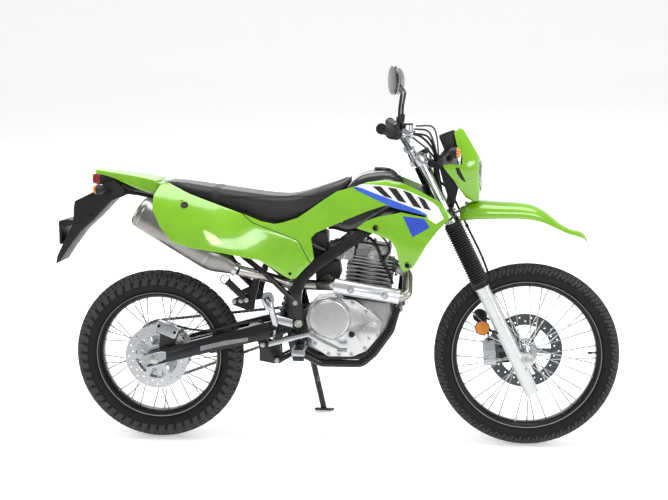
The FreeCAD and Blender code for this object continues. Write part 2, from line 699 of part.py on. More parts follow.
def belt(r_front, r_rear, width):
    """Solid inside a belt round the two sprockets."""
    front = V(FRONT_SPROCKET_X, 0, 470)
    rear = REAR_AXLE
    run = front - rear
    tilt = math.atan2(run.z, run.x)
    spread = math.acos((r_rear - r_front) / run.Length)
    points = []
    for centre, r, turn in ((rear, r_rear, spread), (front, r_front, spread),
                            (front, r_front, -spread), (rear, r_rear, -spread)):
        a = tilt + turn
        points.append(V(centre.x + r * math.cos(a), 0, centre.z + r * math.sin(a)))
    y = CHAIN_Y - width / 2
    face = Part.Face(Part.makePolygon(points + points[:1]))
    face.translate(V(0, y, 0))
    body = face.extrude(V(0, width, 0))
    rounds = [Part.makeCylinder(r_front, width, front + V(0, y, 0), Y_AXIS),
              Part.makeCylinder(r_rear, width, rear + V(0, y, 0), Y_AXIS)]
    return fused([body] + rounds)


def chain_shapes():
    """Chain loop and the driving sprocket inside it."""
    outer = belt(FRONT_SPROCKET_R + 8, SPROCKET_R + 7, 2 * CHAIN_HALF_W)
    inner = belt(FRONT_SPROCKET_R - 0.5, SPROCKET_R - 1.5, 4 * CHAIN_HALF_W)
    driver = Part.makeCylinder(FRONT_SPROCKET_R - 1, 7, V(FRONT_SPROCKET_X, CHAIN_Y - 3.5, 470), Y_AXIS)
    shaft = Part.makeCylinder(12, 12, V(FRONT_SPROCKET_X, CHAIN_Y - 10, 470), Y_AXIS)
    return [outer.cut(inner), fused([driver, shaft])]


def shock_shapes(frame, swingarm):
    """Shock absorber with its spring, and the linkage under the swingarm."""
    low, high = V(SHOCK_LOW[0], 0, SHOCK_LOW[1]), V(SHOCK_TOP[0], 0, SHOCK_TOP[1])
    way = (high - low).normalize()
    damper = rod(low + way * 10, low + way * 170, 17)
    rod_part = rod(low + way * 160, high - way * 8, 9)
    pieces = [damper, rod_part, rod(low + way * 110, low + way * 118, 33),
              rod(high - way * 34, high - way * 24, 33)]
    for i in range(8):
        at = low + way * (126 + 22 * i)
        pieces.append(rod(at, at + way * 11, 31))
    pieces.append(rod(low + way * 112, high - way * 30, 24))
    for end in (low, high):
        pieces.append(rod(end - V(0, 14, 0), end + V(0, 14, 0), 13))
    shock = fused(pieces).cut(frame)
    rocker = plate([(384, 384), (404, 384), (440, 368), (464, 362), (466, 302), (440, 294), (384, 304)],
                   -30, -20)
    arms = plate([(440, 322), (462, 322), (538, 360), (538, 344), (462, 298), (440, 300)], -44, -30)
    bolts = [rod(V(x, -46, z), V(x, 46, z), 7) for x, z in ((398, 368), (452, 310))]
    bolts.append(rod(V(SHOCK_LOW[0], -30, SHOCK_LOW[1]), V(SHOCK_LOW[0], 30, SHOCK_LOW[1]), 7))
    lug = plate([(356, 412), (390, 412), (412, 382), (412, 354), (384, 354)], -18, 18)
    link = fused(pair(rocker) + pair(arms) + bolts + [lug])
    link = link.cut(swingarm).cut(frame).cut(shock)
    return shock, link


def caliper(axle, disc_y, radius, angle_deg, size, slot):
    """Brake caliper straddling a disc edge, square to the disc's radius."""
    along, deep, wide = size
    body = Part.makeBox(deep, wide, along, V(radius - deep / 2, -wide / 2, -along / 2))
    body = body.makeFillet(7, body.Edges)
    gap = Part.makeBox(deep, slot, along + 10, V(radius - deep / 2 - 10, -slot / 2, -along / 2 - 5))
    body = body.cut(gap)
    body.rotate(V(0, 0, 0), Y_AXIS, -angle_deg)
    body.translate(axle + V(0, disc_y, 0))
    return body


def rear_caliper_shape(swingarm):
    """Rear caliper with its bracket to the swingarm."""
    body = caliper(REAR_AXLE, REAR_DISC_Y, 112, 68, (88, 46, 44), DISC_T + 4)
    bracket = plate([(10, 330), (60, 350), (92, 425), (60, 452), (20, 430)], -80.5, -72)
    hole = rod(REAR_AXLE + V(0, -100, 0), REAR_AXLE + V(0, 0, 0), 17)
    return fused([body, bracket.cut(hole)]).cut(swingarm)


def foot_control_shapes(left_cover):
    """Footpegs, brake pedal with its master cylinder, and gear lever."""
    pegs = []
    for side in (-1, 1):
        hanger = Part.makeBox(28, 24, 30, V(532, PLATE_OUT if side > 0 else -PLATE_OUT - 24, 360))
        tread = body_loft([(0, 20, -9, 9), (88, 24, -11, 11)], 5)
        tread.rotate(V(0, 0, 0), V(0, 0, 1), 90 * side)
        tread.translate(V(551, side * 120, 375))
        pegs.append(fused([hanger, tread]))
    pedal = plate([(437, 386), (518, 408), (580, 426), (700, 372), (704, 382), (584, 441), (514, 424),
                   (437, 402)], -158, -148)
    pivot = rod(V(553, -PLATE_OUT, 424), V(553, -152, 424), 9)
    pad = Part.makeBox(34, 42, 10, V(690, -186, 374))
    pedal = fused([pedal, pivot, pad])
    cylinder = rod(V(458, -118, 455), V(436, -118, 545), 12)
    reservoir = rod(V(436, -118, 520), V(420, -118, 560), 17)
    mount = plate([(440, 470), (520, 450), (520, 480), (440, 500)], -PLATE_OUT - 9, -PLATE_OUT)
    push = rod(V(458, -118, 460), V(452, -148, 395), 5)
    lever = plate([(600, 388), (612, 402), (728, 372), (724, 360)], 118, 126)
    toe = rod(V(724, 118, 366), V(724, 168, 366), 9)
    shaft = rod(V(606, 84, 395), V(606, 126, 395), 8)
    gear = fused([lever, toe, shaft])
    return pegs, [fused([cylinder, reservoir, mount, push]).cut(pedal), pedal, gear.cut(left_cover)]


def intake_shapes(frame, head):
    """Carburettor between the head and the air box, and the air box itself."""
    barrel = rod(V(722, 0, 739), V(650, 0, 738), 24)
    throat = rod(V(690, 0, 739), V(668, 0, 738), 30)
    bowl = Part.makeBox(40, 52, 34, V(660, -26, 692))
    carb = fused([barrel, throat, bowl]).cut(head)
    box = rounded_plate([(440, 690), (642, 690), (642, 790), (600, 812), (440, 800)], -66, 66, 10)
    return carb.cut(frame), box.cut(frame)


# Side stand

def stand_geometry():
    """Pivot, foot point and turning axis of the side stand, in the upright frame."""
    pivot = V(*STAND_PIVOT)
    y = STAND_FOOT_Y * math.cos(LEAN)
    z = STAND_FOOT_Y * math.sin(LEAN)
    foot = V(STAND_FOOT_X, y, z)
    leg = (foot - pivot).normalize()
    tucked = V(-1, 0.05, 0.16).normalize()
    return pivot, foot, leg.cross(tucked).normalize()


def side_stand_shapes():
    """Side stand leg with its eye and foot, and the bracket that carries it."""
    pivot, foot, axis = stand_geometry()
    ground = V(0, math.sin(LEAN), math.cos(LEAN))
    across = V(0, math.cos(LEAN), -math.sin(LEAN))
    leg = (foot - pivot).normalize()
    sole = foot + ground * 0.1
    bar = rod(pivot + leg * 19, foot + ground * 10, STAND_R)
    pad = Part.Face(Part.makePolygon([sole + V(x, 0, 0) + across * y for x, y in
                                      ((-34, -18), (30, -18), (42, 4), (30, 26), (-34, 26), (-34, -18))]))
    pad = pad.extrude(ground * 8)
    eye = rod(pivot - axis * 12, pivot + axis * 12, 20)
    below = Part.makeBox(400, 400, 100, V(-200, -200, -100))
    below.rotate(V(0, 0, 0), V(1, 0, 0), LEAN_DEG)
    below.translate(sole)
    stand = fused([bar, eye, pad]).cut(below)
    stand = stand.cut(rod(pivot - axis * 40, pivot + axis * 40, 7 + 0.4))
    pin = rod(pivot - axis * 36, pivot + axis * 16, 7)
    head = rod(pivot + axis * 13, pivot + axis * 18, 12)
    lug = rod(pivot - axis * 36, pivot - axis * 13, 17)
    arm = rod(pivot - axis * 30, V(545, 95, 338), 12)
    bracket = fused([lug, arm, pin, head])
    return stand, bracket


# Steering

def fork_slab(points, s_low, s_high):
    """Plate square to the steering axis with an (n, y) outline."""
    corners = [fork(n, y, s_low) for n, y in points]
    face = Part.Face(Part.makePolygon(corners + corners[:1]))
    return face.extrude(AXIS_UP * (s_high - s_low))


def fork_plate(points, y_from, y_to):
    """Plate parallel to the machine's centre plane with an (n, s) outline."""
    corners = [fork(n, y_from, s) for n, s in points]
    face = Part.Face(Part.makePolygon(corners + corners[:1]))
    return face.extrude(V(0, y_to - y_from, 0))


BAR_S = 880.0
BAR_N = -11.0


def clamp_shape(s_low, s_high, front):
    """Fork clamp plate with its two collars."""
    outline = [(-34, -22), (-30, 22), (-14, 74), (-14, LEG_Y), (front, LEG_Y), (front + 6, 60),
               (front, 24), (front, -24), (front + 6, -60), (front, -LEG_Y), (-14, -LEG_Y), (-14, -74)]
    pieces = [fork_slab(outline, s_low + 4, s_high - 4)]
    for y in (-LEG_Y, LEG_Y):
        pieces.append(rod(fork(LEG_OFFSET, y, s_low), fork(LEG_OFFSET, y, s_high), STANCHION_R + 9))
    return fused(pieces)


def stanchion_tools():
    """Round bars where the stanchions pass."""
    return [rod(fork(LEG_OFFSET, y, BOOT_LOW - 30), fork(LEG_OFFSET, y, 850), STANCHION_R)
            for y in (-LEG_Y, LEG_Y)]


def clamp_shapes():
    """Lower clamp with the stem, and upper clamp with the bar risers."""
    stem = rod(fork(0, 0, LOW_CLAMP[0] - 8), fork(0, 0, HIGH_CLAMP[1] + 4), STEM_R)
    mount = fork_slab([(28, -20), (28, 20), (104, 20), (104, -20)], 588, 594)
    low = fused([clamp_shape(*LOW_CLAMP, 34), stem, mount])
    high = clamp_shape(*HIGH_CLAMP, 44)
    nut = rod(fork(0, 0, HIGH_CLAMP[1] - 6), fork(0, 0, HIGH_CLAMP[1] + 12), 17)
    risers = []
    for y in (-46, 46):
        risers.append(rod(fork(BAR_N, y, HIGH_CLAMP[1] - 8), fork(BAR_N, y, BAR_S - 14), 15))
        risers.append(rod(fork(BAR_N, y - 14, BAR_S), fork(BAR_N, y + 14, BAR_S), BAR_R + 9))
    high = fused([high, nut] + risers)
    for tool in stanchion_tools():
        low = low.cut(tool)
        high = high.cut(tool)
    high = high.cut(rod(fork(0, 0, 700), fork(0, 0, HIGH_CLAMP[1] + 4), STEM_R))
    return low, high


def fork_tube_shapes():
    """Stanchions, ribbed gaiters and lower legs with their axle lugs."""
    stanchions, boots, legs = [], [], []
    for y in (-LEG_Y, LEG_Y):
        stanchions.append(rod(fork(LEG_OFFSET, y, BOOT_LOW), fork(LEG_OFFSET, y, 846), STANCHION_R))
        legs.append(leg_shape(y))
        boots.append(boot_shape(y))
    return stanchions, boots, legs


def leg_shape(y):
    """Lower fork leg with the leading axle lug."""
    side = math.copysign(1, y)
    tube_part = rod(fork(LEG_OFFSET, y, LEG_LOW), fork(LEG_OFFSET, y, BOOT_LOW), LEG_R)
    collar = rod(fork(LEG_OFFSET, y, BOOT_LOW - 26), fork(LEG_OFFSET, y, BOOT_LOW), LEG_R + 2)
    lug = rod(fork(AXLE_OFFSET, side * 71.5, 0), fork(AXLE_OFFSET, side * 116, 0), 21)
    web = fork_plate([(LEG_OFFSET, -44), (AXLE_OFFSET + 8, -18), (AXLE_OFFSET + 12, 16), (LEG_OFFSET, 52)],
                     side * 84, side * 112)
    body = fused([tube_part, collar, lug, web])
    return body.cut(rod(fork(AXLE_OFFSET, -140, 0), fork(AXLE_OFFSET, 140, 0), FRONT_AXLE_R))


def boot_shape(y):
    """Rubber gaiter with round ribs, closed on the leg and the stanchion."""
    base = rod(fork(LEG_OFFSET, y, BOOT_LOW - 18), fork(LEG_OFFSET, y, BOOT_LOW + 8), LEG_R + 5)
    core = rod(fork(LEG_OFFSET, y, BOOT_LOW), fork(LEG_OFFSET, y, BOOT_HIGH), BOOT_R - 6)
    pieces = [base, core]
    pitch = (BOOT_HIGH - BOOT_LOW - 24) / 17
    for i in range(18):
        s = BOOT_LOW + 12 + pitch * i
        low = cone(fork(LEG_OFFSET, y, s - pitch / 2), fork(LEG_OFFSET, y, s), BOOT_R - 5.5, BOOT_R)
        high = cone(fork(LEG_OFFSET, y, s), fork(LEG_OFFSET, y, s + pitch / 2), BOOT_R, BOOT_R - 5.5)
        pieces += [low, high]
    body = fused(pieces)
    hole = rod(fork(LEG_OFFSET, y, BOOT_LOW), fork(LEG_OFFSET, y, BOOT_HIGH + 5), STANCHION_R)
    leg = rod(fork(LEG_OFFSET, y, LEG_LOW), fork(LEG_OFFSET, y, BOOT_LOW), LEG_R + 2)
    return body.cut(hole).cut(leg)


def front_axle_shape():
    """Front axle with spacers and head."""
    pieces = [rod(fork(AXLE_OFFSET, -122, 0), fork(AXLE_OFFSET, 122, 0), FRONT_AXLE_R),
              rod(fork(AXLE_OFFSET, -124, 0), fork(AXLE_OFFSET, -116, 0), 15),
              rod(fork(AXLE_OFFSET, 116, 0), fork(AXLE_OFFSET, 126, 0), 14)]
    for side in (-1, 1):
        pieces.append(rod(fork(AXLE_OFFSET, side * (FRONT_HUB_HALF_W + 0.5), 0),
                          fork(AXLE_OFFSET, side * 71.5, 0), FRONT_AXLE_R + 4.5))
    return fused(pieces)


BAR_CENTRE = STEER_ORIGIN + AXIS_FWD * BAR_N + AXIS_UP * BAR_S
BAR_LINE = [(0, 0, 0), (0, 66, 0), (-27, 186, 54), (-85, BAR_HALF_W, 81)]


def bar_points(side):
    """Handlebar centreline on one side."""
    return [BAR_CENTRE + V(x, side * y, z) for x, y, z in BAR_LINE]


def bar_point(side, y):
    """Point of the outer straight of the handlebar at a distance from the centre."""
    a, b = bar_points(side)[2:]
    return a + (b - a) * ((y - abs(a.y)) / (abs(b.y) - abs(a.y)))


def handlebar_shape():
    """Bent tubular handlebar."""
    left = bar_points(1)
    right = bar_points(-1)
    return tube([right[3], right[2], right[1], left[1], left[2], left[3]], BAR_R, 60)


def grip_shapes(bar):
    """Rubber grips with their inner flanges."""
    grips = []
    for side in (-1, 1):
        a, b = bar_point(side, BAR_HALF_W - GRIP_LEN), bar_point(side, BAR_HALF_W + 4)
        flange = rod(a, a + (b - a).normalize() * 6, 26)
        end = rod(b - (b - a).normalize() * 9, b, 19)
        grips.append(fused([rod(a, b, GRIP_R), flange, end]).cut(bar))
    return grips


def control_shapes(bar):
    """Levers on their perches, switch housings and the brake master cylinder."""
    shapes = []
    for side in (-1, 1):
        along = (bar_point(side, 300) - bar_point(side, 200)).normalize()
        at = bar_point(side, 214)
        perch = rod(at, at + along * 24, 19)
        block = rod(at + along * 12, at + along * 14 + V(56, side * 4, -7), 11)
        switch = rod(at + along * 22, at + along * 62, 24)
        tip = bar_point(side, 388) + V(72, 0, -22)
        knuckle = at + along * 18 + V(46, side * 8, -6)
        middle = bar_point(side, 310) + V(66, 0, -16)
        lever = fused([rod(knuckle, middle, 6), rod(middle, tip, 5.5), Part.makeSphere(7.5, tip),
                       Part.makeSphere(6, middle)])
        pieces = [perch, block, switch, lever]
        if side < 0:
            cyl = at + along * 12 + V(34, 0, 2)
            pieces.append(rod(cyl - along * 14, cyl + along * 30, 13))
            pieces.append(rod(cyl + V(0, 0, 4), cyl + V(0, 0, 30), 21))
        pieces.append(rod(at + along * 12 + V(4, 0, 10), at + along * 12 + V(8, 0, 44), 8))
        shapes.append(fused(pieces).cut(bar))
    return shapes


MIRROR_OVALS = [(-6, 0.94), (-4, 0.98), (0, 1.0), (6, 0.86), (10, 0.62)]
MIRROR_HALF_W = 76.0
MIRROR_HALF_H = 52.0


def oval_wire(x, half_y, half_z):
    """Ellipse square to X, wider in Y than in Z."""
    wire = Part.Wire([Part.Ellipse(V(0, 0, 0), half_y, half_z).toShape()])
    wire.rotate(V(0, 0, 0), V(0, 0, 1), 90)
    wire.rotate(V(0, 0, 0), Y_AXIS, 90)
    wire.translate(V(x, 0, 0))
    return wire


def mirror_shapes(controls):
    """Mirrors: bent stems with their thin oval heads."""
    mirrors = []
    for side in (-1, 1):
        along = (bar_point(side, 300) - bar_point(side, 200)).normalize()
        foot = bar_point(side, 214) + along * 12 + V(6, 0, 38)
        head = V(892, side * 306, 1348)
        stem = tube([foot, foot + V(2, 0, 50), V(918, side * 262, 1306), head + V(3, side * -6, -8)],
                    5, 22)
        nut = rod(foot, foot + V(0.8, 0, 20), 10)
        oval = Part.makeLoft([oval_wire(x, MIRROR_HALF_W * k, MIRROR_HALF_H * k) for x, k in MIRROR_OVALS],
                             True, True)
        oval.rotate(V(0, 0, 0), V(0, 0, 1), side * -14)
        oval.translate(head)
        body = fused([stem, nut, oval])
        for control in controls:
            body = body.cut(control)
        mirrors.append(body)
    return mirrors


MASK_SIDE = [(1121, 1178), (1135, 1175), (1162, 1130), (1198, 1069), (1204, 1040), (1203, 1007),
             (1200, 960), (1194, 917), (1174, 914), (1147, 928), (1120, 965), (1101, 996),
             (1080, 1020), (1062, 1046), (1085, 1051), (1130, 1050), (1132, 1078), (1112, 1120),
             (1102, 1162)]
MASK_MID_X = 1120.0
MASK_MID_Z = 1046.0
MASK_FRONT = [(0, 1180), (58, 1178), (82, 1110), (104, 1066), (108, 1040), (96, 985), (60, 914), (0, 908)]


def front_prism(points, x_from, x_to):
    """Body with a front outline given as (y, z) for one side."""
    corners = [V(x_from, y, z) for y, z in points]
    corners += [V(x_from, -y, z) for y, z in reversed(points) if y > 0]
    face = Part.Face(Part.makePolygon(corners + corners[:1]))
    return face.extrude(V(x_to - x_from, 0, 0))


def mask_body(shrink_x, shrink_y, shrink_z, nose_r):
    """Solid mask body, scaled about its middle, with a nose that is round in plan."""
    side = [(MASK_MID_X + (x - MASK_MID_X) * shrink_x, MASK_MID_Z + (z - MASK_MID_Z) * shrink_z)
            for x, z in MASK_SIDE]
    front = [(y * shrink_y, MASK_MID_Z + (z - MASK_MID_Z) * shrink_z) for y, z in MASK_FRONT]
    body = plate(side, -130, 130).common(front_prism(front, 1000, 1300))
    return body.common(Part.makeCylinder(nose_r, 400, V(1018, 0, 850), V(0, 0, 1)))


def mask_shape(lamp):
    """Headlamp mask: a hollow shell, open behind and cut for the lamp."""
    outer = mask_body(1, 1, 1, 190)
    inner = mask_body(0.93, 0.94, 0.965, 185)
    back = plate([(1095, 1160), (1126, 1080), (1126, 1052), (1088, 1054), (1060, 1046), (1080, 1018),
                  (1100, 990), (1140, 935), (1100, 900), (1000, 1000), (1040, 1180)], -90, 90)
    return outer.cut(inner).cut(back).cut(lamp)


def lamp_shape():
    """Headlamp: lens and reflector bowl."""
    bowl = plate([(1202, 1060), (1207, 1030), (1207, 1000), (1203, 950), (1150, 950), (1128, 985),
                  (1128, 1030), (1150, 1060)], -130, 130)
    front = front_prism([(0, 1060), (56, 1060), (74, 1040), (74, 1010), (44, 950), (0, 946)], 1000, 1300)
    body = bowl.common(front)
    return body.common(Part.makeCylinder(192, 400, V(1018, 0, 850), V(0, 0, 1)))


def stay_shape(cutters):
    """Stay from the fork clamps that carries mask, lamp, instrument and indicators."""
    side = plate([(1077, 884), (1104, 892), (1124, 978), (1126, 1030), (1110, 1098), (1070, 1098),
                  (1040, 1060), (985, 1062), (985, 1046), (1052, 1030), (1064, 985), (1082, 930)], 60, 65)
    pieces = pair(side)
    for x, z in ((1100, 1000), (1093, 1094)):
        pieces.append(rod(V(x, -64, z), V(x, 64, z), 6))
    body = fused(pieces)
    for tool in cutters:
        body = body.cut(tool)
    return body


def instrument_shape():
    """Instrument housing, tilted toward the rider."""
    return rounded_plate([(1046, 1150), (1104, 1172), (1124, 1108), (1070, 1092)], -50, 50, 7)


def front_signal_shapes(stay):
    """Front indicators on their stalks, and the round fork reflectors."""
    signals = []
    for side in (-1, 1):
        root, end = V(1096, side * 62, 1088), V(1104, side * 128, 1095)
        head = rod(V(1104, side * 122, 1095), V(1104, side * 186, 1097), 21)
        signals.append(fused([rod(root, end, 8), head]).cut(stay))
    return signals


def reflector_shapes(legs):
    """Round amber side reflectors on brackets at the fork legs."""
    made = []
    for side, leg in zip((-1, 1), legs):
        centre = V(1212, side * 118, 461)
        disc = rod(centre, centre + V(0, side * 9, 0), 27)
        tab = rod(centre + V(0, side * 3, 0), fork(LEG_OFFSET, side * 108, 120), 5)
        made.append(fused([disc, tab]).cut(leg))
    return made


FENDER = [(1128, 52, 846, 884), (1170, 66, 852, 910), (1250, 70, 856, 912), (1333, 68, 857, 908),
          (1402, 64, 850, 895), (1461, 56, 829, 858), (1530, 40, 798, 812), (1592, 16, 766, 770)]
FENDER_T = 4.0


def fender_shape(cutters):
    """High front fender, arched and tapering to its tip."""
    wires = []
    for x, w, edge, top in FENDER:
        outer = [V(x, w * k, edge + (top - edge) * h) for k, h in
                 ((-1, 0), (-0.9, 0.62), (-0.45, 0.94), (0, 1), (0.45, 0.94), (0.9, 0.62), (1, 0))]
        shrink = (w - FENDER_T) / w
        inner = [V(x, p.y * shrink, p.z - FENDER_T) for p in outer]
        a, b = Part.BSplineCurve(), Part.BSplineCurve()
        a.interpolate(outer)
        b.interpolate(inner)
        wires.append(Part.Wire([a.toShape(), Part.LineSegment(outer[-1], inner[-1]).toShape(),
                                b.toShape(), Part.LineSegment(inner[0], outer[0]).toShape()]))
    body = Part.makeLoft(wires, True, False)
    posts = []
    for n, y in ((86, -14), (86, 14)):
        base = fork(n, y, 594)
        posts.append(rod(base, V(base.x, y, 908), 6))
    body = fused([body] + posts)
    for tool in cutters:
        body = body.cut(tool)
    return body


def front_caliper_shape(legs):
    """Front caliper behind the left leg, with its bracket."""
    body = caliper(FRONT_AXLE, FRONT_DISC_Y, 132, 184, (96, 50, 40), DISC_T + 4)
    bracket = plate([(1216, 372), (1240, 385), (1325, 350), (1345, 300), (1320, 290), (1258, 285)], 78, 88)
    hub_gap = rod(FRONT_AXLE + V(0, 60, 0), FRONT_AXLE + V(0, 100, 0), 40)
    return fused([body, bracket]).cut(hub_gap).cut(legs[1])


HOSE_LINE = [(14, -204, 934), (50, -150, 900), (66, -84, 838), (50, -10, 775), (34, 58, 725),
             (54, 78, 655), (55, 80, 520), (56, 80, 385), (42, 64, 290), (0, 58, 225), (-36, 66, 160),
             (-53, 75, 90)]


def hose_shape(cutters):
    """Front brake hose from the master cylinder to the caliper."""
    hose = tube([fork(*p) for p in HOSE_LINE], 4.5, 24)
    for tool in cutters:
        hose = hose.cut(tool)
    return hose


def engine_nodes(frame):
    """Engine pieces."""
    case = crankcase_shape(frame)
    chamber = belt(FRONT_SPROCKET_R + 13, SPROCKET_R + 12, 2 * CHAIN_HALF_W + 8)
    case = case.cut(chamber)
    cylinder = cylinder_shape(case)
    head = head_shape().cut(cylinder)
    right, left = engine_covers()
    return {"crankcase": [case], "engine_covers": [right.cut(cylinder), left.cut(chamber).cut(cylinder)],
            "cylinder": [cylinder],
            "cylinder_head": [head]}


def body_nodes(frame, subframe):
    """Tank, seat and bodywork."""
    tank, cap = tank_shapes(frame)
    tail = rear_fender_shape(subframe)
    flap = rear_flap_shape(subframe, tail)
    lamp, signals = rear_lamp_shapes(flap)
    front = panel(FRONT_PANEL, [(700, 850, -80), (900, 940, -80), (940, 700, -20)], [frame] + tank)
    side = panel(SIDE_PANEL, [(124, 915, -66), (330, 840, -72), (530, 655, -93)], [frame, subframe])
    return {"fuel_tank": tank + cap, "seat": [seat_shape()], "rear_fender": [tail],
            "rear_flap": [flap], "tail_lamp": [lamp.cut(tail)], "rear_indicators": signals,
            "front_panels": pair(front), "side_panels": pair(side)}


def chassis_nodes():
    """Everything that stays still on the frame."""
    frame = frame_shape()
    subframe = subframe_shape(frame)
    swingarm = swingarm_shape()
    nodes = {"frame": [frame], "subframe": [subframe], "swingarm": [swingarm], "axles": axle_shapes()}
    nodes.update(engine_nodes(frame))
    nodes.update(body_nodes(frame, subframe))
    head = nodes["cylinder_head"][0]
    pipe, shield = exhaust_shapes()
    pipe = pipe.cut(head)
    muffler = muffler_shape().cut(pipe)
    nodes["exhaust_pipe"] = [pipe]
    nodes["heat_shield"] = [shield]
    nodes["muffler"] = [muffler]
    shock, link = shock_shapes(frame, swingarm)
    nodes["shock"] = [shock, link]
    nodes["chain"] = chain_shapes()
    nodes["rear_caliper"] = [rear_caliper_shape(swingarm)]
    pegs, controls = foot_control_shapes(nodes["engine_covers"][1])
    nodes["foot_controls"] = pegs + controls
    carb, box = intake_shapes(frame, head)
    nodes["intake"] = [carb.cut(box), box]
    stand, bracket = side_stand_shapes()
    nodes["side_stand"] = [stand]
    nodes["frame"] = [fused([frame, bracket])]
    return nodes


def steering_nodes():
    """Everything that turns with the fork."""
    low, high = clamp_shapes()
    stanchions, boots, legs = fork_tube_shapes()
    bar = handlebar_shape()
    high = high.cut(bar)
    controls = control_shapes(bar)
    lamp = lamp_shape()
    mask = mask_shape(lamp)
    instrument = instrument_shape()
    stay = stay_shape([low, high, lamp, instrument])
    mask = mask.cut(stay).cut(instrument)
    caliper_body = front_caliper_shape(legs)
    hose = hose_shape([caliper_body, stay] + controls)
    return {"lower_clamp": [low], "upper_clamp": [high], "stanchions": stanchions,
            "fork_gaiters": boots, "fork_legs": legs, "front_axle": [front_axle_shape()],
            "handlebar": [bar], "grips": grip_shapes(bar), "hand_controls": controls,
            "mirrors": mirror_shapes(controls), "headlamp_mask": [mask], "headlamp": [lamp],
            "headlamp_stay": [stay], "instrument": [instrument],
            "front_signals": front_signal_shapes(stay) + reflector_shapes(legs),
            "front_fender": [fender_shape([low])], "front_caliper": [caliper_body],
            "front_hose": [hose]}


def main():
    """Builds every piece, leans the machine onto its stand and writes the pieces."""
    nodes = {}
    nodes.update(front_wheel())
    nodes.update(rear_wheel())
    nodes.update(chassis_nodes())
    nodes.update(steering_nodes())
    os.makedirs("parts", exist_ok=True)
    box = FreeCAD.BoundBox()
    for name, solids in nodes.items():
        placed = Part.makeCompound(solids)
        placed.rotate(V(0, 0, 0), V(1, 0, 0), -LEAN_DEG)
        placed.translate(V(PLACE_X, PLACE_Y, TYRE_SETTLE))
        placed.exportStep("parts/" + name + ".step")
        box.add(placed.BoundBox)
        print(name, len(placed.Solids), placed.isValid(), round(placed.Volume / 1000))
    print("box", box)


if __name__ == "__main__":
    main()
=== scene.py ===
"""Dual sport motorcycle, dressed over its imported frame.

The machine leans ten degrees onto its side stand. Every new piece is made in the upright machine's
own frame, X forward, Y to the rider's left, Z up, from the ground under the rear axle, and is then
laid over by ROW. Sizes are in millimetres until they become mesh points, in metres.
"""
from __future__ import annotations

import json
import logging
import math
from dataclasses import dataclass, field
from enum import Enum
from typing import Callable, Iterable, Sequence

import bmesh
import bpy
from mathutils import Matrix, Vector
from mathutils.bvhtree import BVHTree

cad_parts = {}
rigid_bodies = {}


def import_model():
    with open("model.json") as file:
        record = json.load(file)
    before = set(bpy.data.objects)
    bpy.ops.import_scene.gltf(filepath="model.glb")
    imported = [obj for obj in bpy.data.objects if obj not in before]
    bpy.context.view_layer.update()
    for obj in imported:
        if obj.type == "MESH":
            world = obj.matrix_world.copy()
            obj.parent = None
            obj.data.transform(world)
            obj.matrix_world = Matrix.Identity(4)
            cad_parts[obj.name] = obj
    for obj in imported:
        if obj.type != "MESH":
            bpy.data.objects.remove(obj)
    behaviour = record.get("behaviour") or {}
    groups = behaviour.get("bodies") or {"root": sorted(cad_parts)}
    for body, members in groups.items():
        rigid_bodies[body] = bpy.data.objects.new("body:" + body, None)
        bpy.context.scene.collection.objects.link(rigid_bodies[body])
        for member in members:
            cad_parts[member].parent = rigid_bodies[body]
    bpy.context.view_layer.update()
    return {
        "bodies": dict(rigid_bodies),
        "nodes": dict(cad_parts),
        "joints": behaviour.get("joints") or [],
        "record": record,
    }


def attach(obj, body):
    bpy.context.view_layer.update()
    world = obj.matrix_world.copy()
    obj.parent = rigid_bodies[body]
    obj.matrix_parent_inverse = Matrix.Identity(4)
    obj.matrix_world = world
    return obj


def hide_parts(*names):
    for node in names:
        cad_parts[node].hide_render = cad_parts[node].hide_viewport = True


LOG = logging.getLogger("motorcycle")

MM = 0.001
LEAN_DEG = 10.0
ROW = Matrix.Translation((-0.6717, -0.205, 0.0009)) @ Matrix.Rotation(math.radians(-LEAN_DEG), 4, "X")
# Upright mm to leaning metres, and back
LAY_OVER = ROW @ Matrix.Scale(MM, 4)
STRAIGHTEN = LAY_OVER.inverted()
UP = Vector((0, 0, 1))
ACROSS = Vector((0, 1, 0))
RAKE = math.radians(26.0)
AXIS_UP = Vector((-math.sin(RAKE), 0, math.cos(RAKE)))
AXIS_FWD = Vector((math.cos(RAKE), 0, math.sin(RAKE)))
FRONT_AXLE = Vector((1380.0, 0, 341.5))
REAR_AXLE = Vector((0, 0, 320.5))
STEER_ORIGIN = FRONT_AXLE - AXIS_FWD * 50.0
LEG_OFFSET = 12.0
LEG_Y = 98.0

Mesh = bmesh.types.BMesh
Obj = bpy.types.Object
Tree = bpy.types.NodeTree
Node = bpy.types.Node
Socket = bpy.types.NodeSocket
Point = Vector | Sequence[float]
SIDES = ((-1, "right"), (1, "left"))


class Body(str, Enum):
    """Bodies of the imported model."""

    CHASSIS = "chassis"
    STEERING = "steering"
    FRONT_WHEEL = "front_wheel"
    REAR_WHEEL = "rear_wheel"
    STAND = "side_stand"


def fork(n: float, y: float, s: float) -> Vector:
    """Point ahead of, beside and along the steering axis, in mm."""
    return STEER_ORIGIN + AXIS_FWD * n + AXIS_UP * s + Vector((0, y, 0))


def linear(hex_colour: str) -> tuple[float, float, float, float]:
    """Linear RGBA of an sRGB hex colour.

    Args:
        hex_colour: Colour as "#rrggbb".

    Returns:
        Linear red, green, blue and an alpha of one.
    """
    parts = [int(hex_colour[i:i + 2], 16) / 255 for i in (1, 3, 5)]
    r, g, b = [c / 12.92 if c <= 0.04045 else ((c + 0.055) / 1.055) ** 2.4 for c in parts]
    return r, g, b, 1.0


